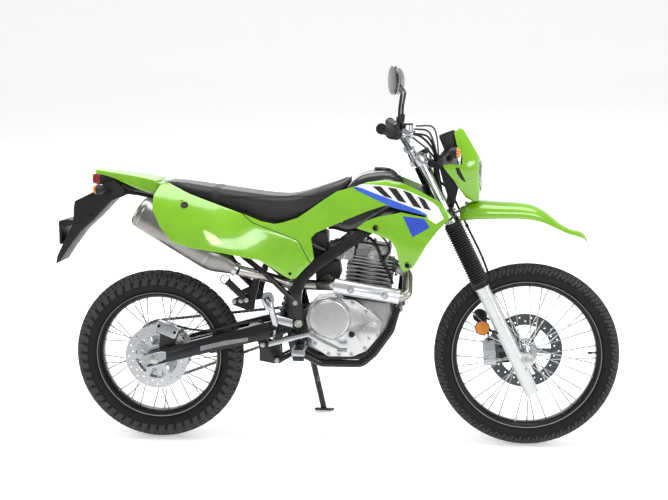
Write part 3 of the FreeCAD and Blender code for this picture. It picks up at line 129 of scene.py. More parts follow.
def add_node(tree: Tree, kind: str, settings: dict | None = None,
             links: dict | None = None) -> Node:
    """Adds one node to a tree.

    Args:
        tree: Tree that gets the node.
        kind: Node type name.
        settings: Attribute names, or input names or indices, with their values.
        links: Input names or indices with the output socket that feeds each.

    Returns:
        The new node.
    """
    node = tree.nodes.new(kind)
    for key, value in (settings or {}).items():
        if isinstance(key, str) and hasattr(node, key):
            setattr(node, key, value)
        else:
            node.inputs[key].default_value = value
    for key, socket in (links or {}).items():
        tree.links.new(socket, node.inputs[key])
    return node


class Grain(Enum):
    """How the surface of a finish was made."""

    MOULDED = "moulded"
    TEXTURED = "textured"
    CAST = "cast"
    BRUSHED = "brushed"
    TURNED = "turned"
    HIDE = "hide"
    RUBBER = "rubber"
    CLEAR = "clear"


@dataclass(frozen=True)
class Finish:
    """One real surface finish.

    Attributes:
        name: What the material is.
        colour: Main colour, sRGB hex.
        shade: Second colour that the pattern mixes in.
        slot: Material slot of the record that it stands for, as a rule; not used.
        metallic: Metal share.
        roughness: Mean roughness.
        spread: How far the roughness wanders.
        grain: How the surface was made.
        pitch_mm: Size of the grain.
        bump_mm: Height of the grain.
        coat: Clear coat weight.
        ior: Index of refraction of a non-metal.
        sheen: Sheen weight.
        clear: Share of light let through.
        glow: Strength of its own light.
        worn: Share of lighter wear in scattered rubbed places.
    """

    name: str
    colour: str
    shade: str
    slot: str
    metallic: float = 0.0
    roughness: float = 0.4
    spread: float = 0.08
    grain: Grain = Grain.MOULDED
    pitch_mm: float = 1.0
    bump_mm: float = 0.05
    coat: float = 0.0
    ior: float = 1.5
    sheen: float = 0.0
    clear: float = 0.0
    glow: float = 0.0
    worn: float = 0.0

    def material(self) -> bpy.types.Material:
        """Builds the node material of this finish, or returns it if it is built."""
        if self.name in bpy.data.materials:
            return bpy.data.materials[self.name]
        made = bpy.data.materials.new(self.name)
        made.use_nodes = True
        tree = made.node_tree
        tree.nodes.clear()
        out = add_node(tree, "ShaderNodeOutputMaterial")
        place = add_node(tree, "ShaderNodeTexCoord").outputs["Object"]
        shader = add_node(tree, "ShaderNodeBsdfPrincipled", {
            "Metallic": self.metallic, "Coat Weight": self.coat, "Coat Roughness": 0.04,
            "Sheen Weight": self.sheen, "Transmission Weight": self.clear})
        if self.metallic < 0.5:
            shader.inputs["IOR"].default_value = self.ior
        if self.glow:
            shader.inputs["Emission Color"].default_value = linear(self.colour)
            shader.inputs["Emission Strength"].default_value = self.glow
        tree.links.new(shader.outputs[0], out.inputs["Surface"])
        pattern, height = self._pattern(tree, place)
        self._colour(tree, shader, place, pattern)
        rough = add_node(
            tree, "ShaderNodeMapRange", {"To Min": max(self.roughness - self.spread, 0.02),
            "To Max": min(self.roughness + self.spread, 1.0)}, {"Value": pattern})
        tree.links.new(rough.outputs[0], shader.inputs["Roughness"])
        if self.bump_mm:
            bump = add_node(tree, "ShaderNodeBump", {"Strength": 0.6, "Distance": self.bump_mm * MM},
                            {"Height": height})
            tree.links.new(bump.outputs[0], shader.inputs["Normal"])
        return made

    def _pattern(self, tree: Tree, place: Socket
                 ) -> tuple[Socket, Socket]:
        """Nodes of the grain.

        Args:
            tree: Tree that gets the nodes.
            place: Object coordinates.

        Returns:
            Sockets of the colour and roughness pattern, and of the height.
        """
        per_metre = 1 / (self.pitch_mm * MM)
        soft = add_node(tree, "ShaderNodeTexNoise", {"Scale": 14.0, "Detail": 3.0}, {"Vector": place})
        if self.grain is Grain.BRUSHED:
            # brushing lines run along the muffler's and the bars' length, so the noise is stretched
            stretch = add_node(tree, "ShaderNodeMapping", {"Scale": (0.04, 1.0, 1.0)}, {"Vector": place})
            lines = add_node(tree, "ShaderNodeTexNoise", {"Scale": per_metre, "Detail": 2.0},
                             {"Vector": stretch.outputs[0]})
            both = add_node(tree, "ShaderNodeMath", {"operation": "MULTIPLY_ADD", 1: 0.6},
                            {0: lines.outputs[0], 2: self._scaled(tree, soft.outputs[0], 0.4)})
            return both.outputs[0], lines.outputs[0]
        if self.grain is Grain.HIDE:
            cells = add_node(
                tree, "ShaderNodeTexVoronoi", {"Scale": per_metre, "feature": "DISTANCE_TO_EDGE"},
                {"Vector": place})
            edge = add_node(tree, "ShaderNodeMapRange", {"From Max": 0.35}, {"Value": cells.outputs[0]})
            return soft.outputs[0], edge.outputs[0]
        if self.grain in (Grain.TEXTURED, Grain.CAST, Grain.RUBBER):
            fine = add_node(
                tree, "ShaderNodeTexNoise", {"Scale": per_metre, "Detail": 4.0, "Roughness": 0.65},
                {"Vector": place})
            both = add_node(tree, "ShaderNodeMath", {"operation": "MULTIPLY_ADD", 1: 0.5},
                            {0: fine.outputs[0], 2: self._scaled(tree, soft.outputs[0], 0.5)})
            return both.outputs[0], fine.outputs[0]
        fine = add_node(tree, "ShaderNodeTexNoise", {"Scale": per_metre, "Detail": 1.0}, {"Vector": place})
        return soft.outputs[0], fine.outputs[0]

    @staticmethod
    def _scaled(tree: Tree, socket: Socket, factor: float) -> Socket:
        """A value times a factor."""
        return add_node(tree, "ShaderNodeMath", {"operation": "MULTIPLY", 1: factor}, {0: socket}).outputs[0]

    def _colour(self, tree: Tree, shader: Node, place: Socket,
                pattern: Socket) -> None:
        """Links the two colours, and the wear where there is some, to the shader."""
        ramp = add_node(tree, "ShaderNodeValToRGB", links={"Fac": pattern})
        ramp.color_ramp.elements[0].position = 0.3
        ramp.color_ramp.elements[0].color = linear(self.shade)
        ramp.color_ramp.elements[1].position = 0.62
        ramp.color_ramp.elements[1].color = linear(self.colour)
        colour = ramp.outputs[0]
        if self.worn:
            rubs = add_node(tree, "ShaderNodeTexNoise", {"Scale": 60.0, "Detail": 6.0, "Roughness": 0.7},
                            {"Vector": place})
            mask = add_node(
                tree, "ShaderNodeMapRange", {"From Min": 0.62, "From Max": 0.75, "To Max": self.worn},
                {"Value": rubs.outputs[0]})
            blend = add_node(tree, "ShaderNodeMix", {"data_type": "RGBA"}, {"Factor": mask.outputs[0]})
            colours = [s for s in blend.inputs if s.type == "RGBA"]
            tree.links.new(colour, colours[0])
            colours[1].default_value = linear("#8f8f8c")
            colour = [s for s in blend.outputs if s.type == "RGBA"][0]
        tree.links.new(colour, shader.inputs["Base Color"])


# Injection moulded ABS, gloss, with the faint waviness of a big moulding
LIME = Finish("lime_abs", "#79b412", "#72ab10", "green_plastic", roughness=0.2, spread=0.03, pitch_mm=9.0,
              bump_mm=0.03, coat=0.7, ior=1.53)
# Polypropylene with a spark-eroded texture: matt, dark grey in the light
BLACK_PP = Finish("black_polypropylene", "#141517", "#0d0e0f", "black_plastic", roughness=0.5,
                  grain=Grain.TEXTURED, pitch_mm=0.9, bump_mm=0.08, ior=1.4)
GLOSS_BLACK = Finish("gloss_black_abs", "#0e0f11", "#0a0b0c", "black_plastic", roughness=0.2, spread=0.05,
                     pitch_mm=6.0, bump_mm=0.02, coat=0.5)
# Semi-gloss enamel over welded tube, a little orange peel
FRAME_ENAMEL = Finish("black_enamel", "#0b0c0d", "#070808", "black_frame", roughness=0.28, pitch_mm=2.2,
                      bump_mm=0.05, coat=0.2, ior=1.4, worn=0.04)
# Sand cast, bead blasted aluminium: soft grey with a fine tooth
CAST_ALLOY = Finish("cast_aluminium", "#a9aaab", "#878889", "cast_engine", metallic=0.9, roughness=0.36,
                    grain=Grain.CAST, pitch_mm=1.4, bump_mm=0.12, worn=0.1)
BLACK_ALLOY = Finish("black_painted_alloy", "#1b1c1e", "#121314", "black_frame", metallic=0.2,
                     roughness=0.42, grain=Grain.CAST, pitch_mm=1.4, bump_mm=0.1, worn=0.15)
BRIGHT_ALLOY = Finish("bright_aluminium", "#c2c5c8", "#a8abae", "bright_alloy", metallic=0.98,
                      roughness=0.22, grain=Grain.BRUSHED, pitch_mm=0.7, bump_mm=0.02)
RIM_ANODISED = Finish("black_anodised_rim", "#0c0d0e", "#070708", "black_rim", metallic=0.3, roughness=0.3,
                      grain=Grain.BRUSHED, pitch_mm=0.8, bump_mm=0.015)
SPOKE_STEEL = Finish("galvanised_spokes", "#e6e8ea", "#d2d4d6", "bright_alloy", metallic=0.9, roughness=0.3,
                     pitch_mm=2.0, bump_mm=0.02)
DISC_STEEL = Finish("ground_disc_steel", "#d2d4d6", "#b9bbbe", "disc_steel", metallic=1.0, roughness=0.3,
                    grain=Grain.BRUSHED, pitch_mm=0.5, bump_mm=0.02)
ZINC_BOLT = Finish("zinc_bolts", "#c4c5c2", "#a3a39d", "disc_steel", metallic=1.0, roughness=0.32,
                   grain=Grain.CAST, pitch_mm=0.8, bump_mm=0.02)
BLACK_BOLT = Finish("black_oxide_bolts", "#222325", "#191a1b", "disc_steel", metallic=0.8, roughness=0.38,
                    grain=Grain.CAST, pitch_mm=0.8, bump_mm=0.02)
CHROME = Finish("hard_chrome", "#dfe1e3", "#d3d5d8", "chrome_tube", metallic=1.0, roughness=0.09,
                spread=0.03, pitch_mm=4.0, bump_mm=0.005)
# Fork lowers: aluminium under a light silver lacquer that reads nearly white
LEG_LACQUER = Finish("silver_lacquer", "#cdcfd0", "#c3c5c6", "white_leg", metallic=0.35, roughness=0.3,
                     pitch_mm=1.2, bump_mm=0.01, coat=0.4)
MUFFLER_STEEL = Finish("brushed_stainless", "#94928f", "#767470", "muffler_steel", metallic=1.0,
                       roughness=0.3, grain=Grain.BRUSHED, pitch_mm=0.8, bump_mm=0.03)
PIPE_STEEL = Finish("heat_tinted_steel", "#b7b4af", "#99958e", "muffler_steel", metallic=1.0, roughness=0.3,
                    grain=Grain.CAST, pitch_mm=3.0, bump_mm=0.03)
CHAIN_STEEL = Finish("oiled_chain_steel", "#7b7870", "#4f4c46", "chain_steel", metallic=1.0, roughness=0.36,
                     grain=Grain.CAST, pitch_mm=1.5, bump_mm=0.03)
TYRE_RUBBER = Finish("tyre_rubber", "#191a1b", "#111213", "tyre_rubber", roughness=0.66, spread=0.1,
                     grain=Grain.RUBBER, pitch_mm=1.6, bump_mm=0.09, ior=1.33)
# Same tyre rubber as the tread blocks, coloured darker over the whole tyre body: painted shade in the grooves
# between the blocks
CARCASS_RUBBER = Finish("carcass_rubber_painted_shade", "#111213", "#0c0c0d", "tyre_rubber", roughness=0.6, spread=0.1,
                        grain=Grain.RUBBER, pitch_mm=1.6, bump_mm=0.06, ior=1.33)
SOFT_RUBBER = Finish("bellows_rubber", "#151617", "#0d0e0e", "black_rubber", roughness=0.45, spread=0.1,
                     grain=Grain.RUBBER, pitch_mm=1.0, bump_mm=0.05, ior=1.42)
# Seat cover: embossed vinyl, the hide cells are two millimetres across
SEAT_VINYL = Finish("embossed_vinyl", "#1b1b1c", "#141415", "seat_vinyl", roughness=0.5, spread=0.09,
                    grain=Grain.HIDE, pitch_mm=2.2, bump_mm=0.18, ior=1.4, sheen=0.08)
TANK_COVER = Finish("dark_tank_lacquer", "#1b1c1e", "#141516", "tank_paint", roughness=0.33, spread=0.05,
                    pitch_mm=5.0, bump_mm=0.02, coat=0.4)
AMBER = Finish("amber_acrylic", "#e88406", "#cf6c02", "amber_lens", roughness=0.14, spread=0.02,
               pitch_mm=3.0, bump_mm=0.15, coat=0.6, ior=1.49, clear=0.25)
RED_LENS = Finish("red_acrylic", "#8f0a10", "#76060c", "red_lens", roughness=0.12, spread=0.02, pitch_mm=3.0,
                  bump_mm=0.15, coat=0.6, ior=1.49, clear=0.2)
CLEAR_LENS = Finish("clear_polycarbonate", "#f4f7f8", "#eef2f4", "clear_lens", roughness=0.04, spread=0.01,
                    pitch_mm=6.0, bump_mm=0.0, ior=1.58, clear=0.92)
MIRROR_GLASS = Finish("silvered_glass", "#3a3d41", "#34373b", "chrome_tube", metallic=1.0, roughness=0.06,
                      spread=0.01, bump_mm=0.0)
BLUE_FILM = Finish("blue_film", "#3561cf", "#2850bb", "green_plastic", roughness=0.2, spread=0.03,
                   pitch_mm=8.0, bump_mm=0.01, coat=0.6)
WHITE_FILM = Finish("white_film", "#f1f3f3", "#e8ebec", "green_plastic", roughness=0.2, spread=0.03,
                    pitch_mm=8.0, bump_mm=0.01, coat=0.6)
BLACK_FILM = Finish("black_film", "#101114", "#0b0c0e", "green_plastic", roughness=0.22, spread=0.03,
                    pitch_mm=8.0, bump_mm=0.01, coat=0.6)
INDIGO_FILM = Finish("indigo_film", "#2b4fc6", "#1f3da6", "green_plastic", roughness=0.22, spread=0.03,
                     pitch_mm=8.0, bump_mm=0.01, coat=0.6)
# Die cast covers, finer and brighter than the sand cast case, under a clear lacquer
COVER_ALLOY = Finish("lacquered_cover_alloy", "#cbcccc", "#b5b6b7", "cast_engine", metallic=0.9,
                     roughness=0.28, grain=Grain.CAST, pitch_mm=1.0, bump_mm=0.06, coat=0.3)
SHIELD_ALLOY = Finish("satin_shield_alloy", "#d4d6d8", "#c4c6c8", "bright_alloy", metallic=0.85,
                      roughness=0.3, grain=Grain.BRUSHED, pitch_mm=1.0, bump_mm=0.02)
STRIP_ALLOY = Finish("rubbed_alloy", "#9b9da0", "#77797c", "bright_alloy", metallic=0.9, roughness=0.35,
                     grain=Grain.BRUSHED, pitch_mm=1.2, bump_mm=0.03, worn=0.3)
LEVER_ALLOY = Finish("polished_lever_alloy", "#b9bcbf", "#a3a6a9", "bright_alloy", metallic=0.95,
                     roughness=0.22, grain=Grain.BRUSHED, pitch_mm=0.8, bump_mm=0.01)
# Woven strap: the ribs of the webbing are one and a half millimetres apart
STRAP_WEB = Finish("woven_strap", "#17181a", "#0e0f10", "seat_vinyl", roughness=0.75, grain=Grain.TEXTURED,
                   pitch_mm=1.5, bump_mm=0.15, sheen=0.2)
# Lime ABS like the panels, coloured much paler: a painted highlight in the side panels' vents
VENT_HIGHLIGHT = Finish("lime_abs_painted_highlight", "#d7f0a8", "#b9e17c", "green_plastic", roughness=0.3, pitch_mm=9.0,
                    bump_mm=0.02, coat=0.3)
# Front disc: the same ground steel as the rear disc, coloured darker
DARK_DISC = Finish("darker_disc_steel", "#5e6163", "#484a4c", "disc_steel", metallic=1.0, roughness=0.36,
                   grain=Grain.BRUSHED, pitch_mm=0.5, bump_mm=0.02)
# Light grey metal ring on the black rim's flange edge: a painted highlight
RIM_HIGHLIGHT = Finish("rim_edge_painted_highlight", "#8f9193", "#707274", "black_rim", metallic=0.95, roughness=0.3,
                  grain=Grain.BRUSHED, pitch_mm=0.8, bump_mm=0.01)
REFLECTOR = Finish("amber_reflector", "#c97c08", "#9c5a03", "amber_lens", roughness=0.12, spread=0.03,
                   grain=Grain.HIDE, pitch_mm=2.4, bump_mm=0.25, coat=0.8)
DISPLAY = Finish("liquid_crystal", "#5d6a60", "#525e56", "clear_lens", roughness=0.08, spread=0.02,
                 pitch_mm=6.0, bump_mm=0.0, coat=0.9)
FLOOR_PAINT = Finish("studio_floor", "#f6f6f6", "#f3f3f3", "", roughness=0.7, pitch_mm=40.0, bump_mm=0.0,
                     glow=0.36)

# Brake hose ahead of, beside and along the steering axis
HOSE_LINE = [(14, -204, 934), (50, -150, 900), (66, -84, 838), (50, -10, 775), (34, 58, 725), (54, 78, 655),
             (55, 80, 520), (56, 80, 385), (42, 64, 290), (0, 58, 225), (-36, 66, 160), (-53, 75, 90)]
SEAT_VOXEL_MM = 4.5
SEAT_SHRINK_MM = 2.0
SEAT_SWELL_MM = 5.0


def as_mesh(name: str, bm: Mesh) -> bpy.types.Mesh:
    """Mesh data of a mesh in work, which is freed."""
    mesh = bpy.data.meshes.new(name)
    bm.to_mesh(mesh)
    bm.free()
    return mesh


def linked(name: str, data: bpy.types.ID) -> Obj:
    """New object in the scene."""
    obj = bpy.data.objects.new(name, data)
    bpy.context.scene.collection.objects.link(obj)
    return obj


class Shop:
    """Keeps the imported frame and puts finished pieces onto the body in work."""

    def __init__(self, frame: dict) -> None:
        """Keeps the loaded frame and starts with the chassis."""
        self.frame = frame
        self.body = Body.CHASSIS
        self.made: list[str] = []

    def place(self, obj: Obj, finish: Finish, stands_for: Sequence[str] = (), angle_deg: float = 32.0,
              slot: str = "") -> Obj:
        """Finishes one piece and puts it on the body in work.

        Args:
            obj: Object with its mesh in the row frame.
            finish: Its material, where its mesh has none yet.
            stands_for: Nodes that it replaces.
            angle_deg: Edges sharper than this stay sharp.
            slot: Material slot of the record, where it isn't the finish's own; not used.

        Returns:
            The same object.
        """
        if not obj.data.materials:
            obj.data.materials.append(finish.material())
        obj.data.shade_smooth()
        obj.data.set_sharp_from_angle(angle=math.radians(angle_deg))
        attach(obj, self.body.value)
        if stands_for:
            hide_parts(*stands_for)
        self.made.append(obj.name)
        LOG.info("%s on %s", obj.name, self.body.value)
        return obj

    def baked(self, obj: Obj) -> Obj:
        """Turns an object with modifiers into a plain mesh, in place."""
        graph = bpy.context.evaluated_depsgraph_get()
        graph.update()
        mesh = bpy.data.meshes.new_from_object(obj.evaluated_get(graph), depsgraph=graph)
        obj.modifiers.clear()
        old = obj.data
        obj.data = mesh
        bpy.data.meshes.remove(old)
        return obj

    def merged(self, node: str) -> Mesh:
        """Copy of a node's mesh with its points joined and its flat faces whole."""
        bm = bmesh.new()
        bm.from_mesh(self.frame["nodes"][node].data)
        bmesh.ops.remove_doubles(bm, verts=bm.verts, dist=2e-6)
        bmesh.ops.dissolve_limit(bm, angle_limit=math.radians(0.3), verts=bm.verts, edges=bm.edges)
        return bm

    def rounded(self, node: str, finish: Finish, bevel_mm: float = 0.8, segments: int = 2, slot: str = ""
                ) -> Obj:
        """Stands a copy with rounded edges in a node's place.

        Args:
            node: Node that is copied and replaced.
            finish: Its material.
            bevel_mm: Width of the edge rounding, zero for none.
            segments: Faces across the rounding.
            slot: Material slot of the record, where it isn't the finish's own.

        Returns:
            The placed piece.
        """
        name = node + "_piece"
        obj = linked(name, as_mesh(name, self.merged(node)))
        if bevel_mm:
            bevel = obj.modifiers.new("edge", "BEVEL")
            bevel.width = bevel_mm * MM
            bevel.segments = segments
            bevel.limit_method = "ANGLE"
            bevel.angle_limit = math.radians(38)
            bevel.use_clamp_overlap = True
            self.baked(obj)
        return self.place(obj, finish, (node,), slot=slot)

    def parted(self, node: str, finish: Finish, bevel_mm: float,
               zones: Sequence[tuple[Finish, Callable[[Vector], bool]]], slot: str = "") -> Obj:
        """Rounded copy of a node that has a second finish in some places.

        Args:
            node: Node that is copied and replaced.
            finish: Finish of the faces that no zone takes.
            bevel_mm: Width of the edge rounding, zero for none.
            zones: Finishes, each with a test of a face's middle in the upright frame, in mm.
            slot: Material slot of the record, where it isn't the finish's own.

        Returns:
            The placed piece.
        """
        obj = self.rounded(node, finish, bevel_mm, slot=slot)
        for other, _ in zones:
            obj.data.materials.append(other.material())
        for face in obj.data.polygons:
            spot = STRAIGHTEN @ face.center
            face.material_index = next((i + 1 for i, (_, inside) in enumerate(zones) if inside(spot)), 0)
        return obj

    def add(self, name: str, bm: Mesh, finish: Finish, stands_for: Sequence[str] = (),
            angle_deg: float = 32.0, slot: str = "") -> Obj:
        """Closes a mesh in mm, lays it over into the row frame and places it.

        Args:
            name: Name of the piece.
            bm: Mesh in the upright frame, freed here.
            finish: Its material.
            stands_for: Nodes that it replaces.
            angle_deg: Edges sharper than this stay sharp.
            slot: Material slot of the record, where it isn't the finish's own.

        Returns:
            The placed piece.
        """
        outward(bm)
        bmesh.ops.transform(bm, matrix=LAY_OVER, verts=bm.verts)
        return self.place(linked(name, as_mesh(name, bm)), finish, stands_for, angle_deg, slot)


# Shapes made point by point, in mm in the upright frame

def smooth_line(points: Sequence[Point], per_run: int = 6) -> list[Vector]:
    """Points of a soft line through the given points.

    Args:
        points: Points that the line goes through.
        per_run: Steps between two of them.

    Returns:
        Points along the line, ends included.
    """
    line = [Vector(p) for p in points]
    ext = [line[0] * 2 - line[1]] + line + [line[-1] * 2 - line[-2]]
    out = []
    for i in range(1, len(ext) - 2):
        p0, p1, p2, p3 = ext[i - 1:i + 3]
        for k in range(per_run):
            t = k / per_run
            out.append(0.5 * ((2 * p1) + (p2 - p0) * t + (2 * p0 - 5 * p1 + 4 * p2 - p3) * t * t
                              + (3 * p1 - p0 - 3 * p2 + p3) * t ** 3))
    return out + [line[-1]]


def circle(centre: Point, a: Point, b: Point, count: int) -> list[Vector]:
    """Points round an ellipse that has the half axes a and b."""
    turns = [2 * math.pi * k / count for k in range(count)]
    return [Vector(centre) + Vector(a) * math.cos(t) + Vector(b) * math.sin(t) for t in turns]


def skinned(bm: Mesh, rings: Sequence[Sequence[Vector]]) -> None:
    """Adds a body with flat ends over rings that have as many points each."""
    rows = [[bm.verts.new(p) for p in ring] for ring in rings]
    for low, high in zip(rows, rows[1:]):
        for k in range(len(low)):
            j = (k + 1) % len(low)
            bm.faces.new((low[k], low[j], high[j], high[k]))
    bm.faces.new(rows[0])
    bm.faces.new(rows[-1])


def sweep(bm: Mesh, line: Sequence[Point], radius: float | Sequence[float], sides: int = 14) -> None:
    """Adds a round closed tube along a line.

    Args:
        bm: Mesh that gets it.
        line: Centre points.
        radius: One radius, or one for each point.
        sides: Faces round the tube.
    """
    pts = [Vector(p) for p in line]
    radii = list(radius) if isinstance(radius, (list, tuple)) else [radius] * len(pts)
    normal = None
    rings = []
    for i, p in enumerate(pts):
        along = (pts[min(i + 1, len(pts) - 1)] - pts[max(i - 1, 0)]).normalized()
        if normal is None:
            normal = along.orthogonal().normalized()
        normal = (normal - along * normal.dot(along)).normalized()
        rings.append(circle(p, normal * radii[i], along.cross(normal) * radii[i], sides))
    skinned(bm, rings)


def lathe(bm: Mesh, profile: Sequence[tuple[float, float]], centre: Point, axis: Point,
          steps: int = 48, closed: bool = False) -> None:
    """Adds a body turned about an axis.

    Args:
        bm: Mesh that gets it.
        profile: (radius, distance along the axis) points. A radius of zero makes a pole.
        centre: Zero point of the distances.
        axis: Direction of the axis.
        steps: Faces round the body.
        closed: Whether the profile's last point joins its first.
    """
    along = Vector(axis).normalized()
    a = along.orthogonal().normalized()
    b = along.cross(a)
    base = Vector(centre)
    rings = []
    for r, h in profile:
        at = base + along * h
        rings.append([bm.verts.new(p) for p in (circle(at, a * r, b * r, steps) if r > 0 else [at])])
    pairs = list(zip(rings, rings[1:])) + ([(rings[-1], rings[0])] if closed else [])
    for low, high in pairs:
        for k in range(steps):
            j = (k + 1) % steps
            quad = [low[k % len(low)], low[j % len(low)], high[j % len(high)], high[k % len(high)]]
            bm.faces.new(list(dict.fromkeys(quad)))


def slab(bm: Mesh, outline: Sequence[Point], push: Point) -> None:
    """Adds a prism on a flat outline.

    Args:
        bm: Mesh that gets it.
        outline: Corner points.
        push: Vector from one face to the other.
    """
    near = [bm.verts.new(Vector(p)) for p in outline]
    far = [bm.verts.new(Vector(p) + Vector(push)) for p in outline]
    count = len(near)
    bm.faces.new(near)
    bm.faces.new(list(reversed(far)))
    for i in range(count):
        bm.faces.new((near[i], far[i], far[(i + 1) % count], near[(i + 1) % count]))


def plate(bm: Mesh, outline: Sequence[tuple[float, float]], y: float, width: float) -> None:
    """Adds a plate that is drawn in the side view.

    Args:
        bm: Mesh that gets it.
        outline: (x, z) corners.
        y: Place of one face.
        width: Distance to the other face, along Y.
    """
    slab(bm, [(x, y, z) for x, z in outline], (0, width, 0))


def block(bm: Mesh, layers: Sequence[Sequence[Sequence[Point]]]) -> None:
    """Adds a closed block of layers, each with rows of two points."""
    made = [[[bm.verts.new(p) for p in row] for row in layer] for layer in layers]
    last = len(made[0]) - 1
    for low, high in zip(made, made[1:]):
        for i in range(last):
            for j in (0, 1):
                bm.faces.new((low[i][j], low[i + 1][j], high[i + 1][j], high[i][j]))
        for i in (0, last):
            bm.faces.new((low[i][0], low[i][1], high[i][1], high[i][0]))
    for layer in (made[0], made[-1]):
        for i in range(last):
            bm.faces.new((layer[i][0], layer[i + 1][0], layer[i + 1][1], layer[i][1]))


def outward(bm: Mesh) -> Mesh:
    """Joins doubled points and turns every face outwards."""
    bmesh.ops.remove_doubles(bm, verts=bm.verts, dist=1e-4)
    bmesh.ops.recalc_face_normals(bm, faces=bm.faces)
    return bm


def beveled(bm: Mesh, width: float, segments: int = 2, angle_deg: float = 30.0
            ) -> Mesh:
    """Rounds the sharp edges of a mesh in mm."""
    outward(bm)
    sharp = [e for e in bm.edges if e.is_manifold and e.calc_face_angle(0) > math.radians(angle_deg)]
    bmesh.ops.bevel(bm, geom=sharp, offset=width, segments=segments, profile=0.5, affect="EDGES",
                    clamp_overlap=True)
    return bm


def hex_bolt(across: float = 10.0, height: float = 6.0) -> Mesh:
    """Hexagon head on its washer, along +Z from zero, in mm."""
    bm = bmesh.new()
    r = across / math.sqrt(3)
    washer = 1.2
    lathe(bm, [(0, -1.0), (across * 0.66, -1.0), (across * 0.66, 0.9), (across * 0.6, washer), (0, washer)],
          (0, 0, 0), UP, 18)
    skinned(bm, [circle((0, 0, washer + h), (k * r, 0, 0), (0, k * r, 0), 6)
                 for k, h in ((1, 0), (1, height * 0.82), (0.86, height))])
    return bm


def socket_bolt(head: float = 9.0, height: float = 6.0) -> Mesh:
    """Round socket head with its hexagon hole, along +Z from zero, in mm."""
    bm = bmesh.new()
    r = head / 2
    lathe(bm, [(0, -0.5), (r, -0.5), (r, height - 0.8), (r - 0.8, height), (r * 0.56, height),
               (r * 0.56, height * 0.4), (0, height * 0.4)], (0, 0, 0), UP, 12)
    return bm


def dome_rivet(head: float = 11.0, height: float = 3.2) -> Mesh:
    """Low dome head with a cross recess, along +Z from zero, in mm."""
    bm = bmesh.new()
    r = head / 2
    lathe(
        bm, [(0, -0.4), (r, -0.4), (r, 0.6), (r * 0.85, height * 0.7), (r * 0.55, height),
        (r * 0.3, height), (r * 0.22, height * 0.35), (0, height * 0.3)], (0, 0, 0), UP, 14)
    return bm


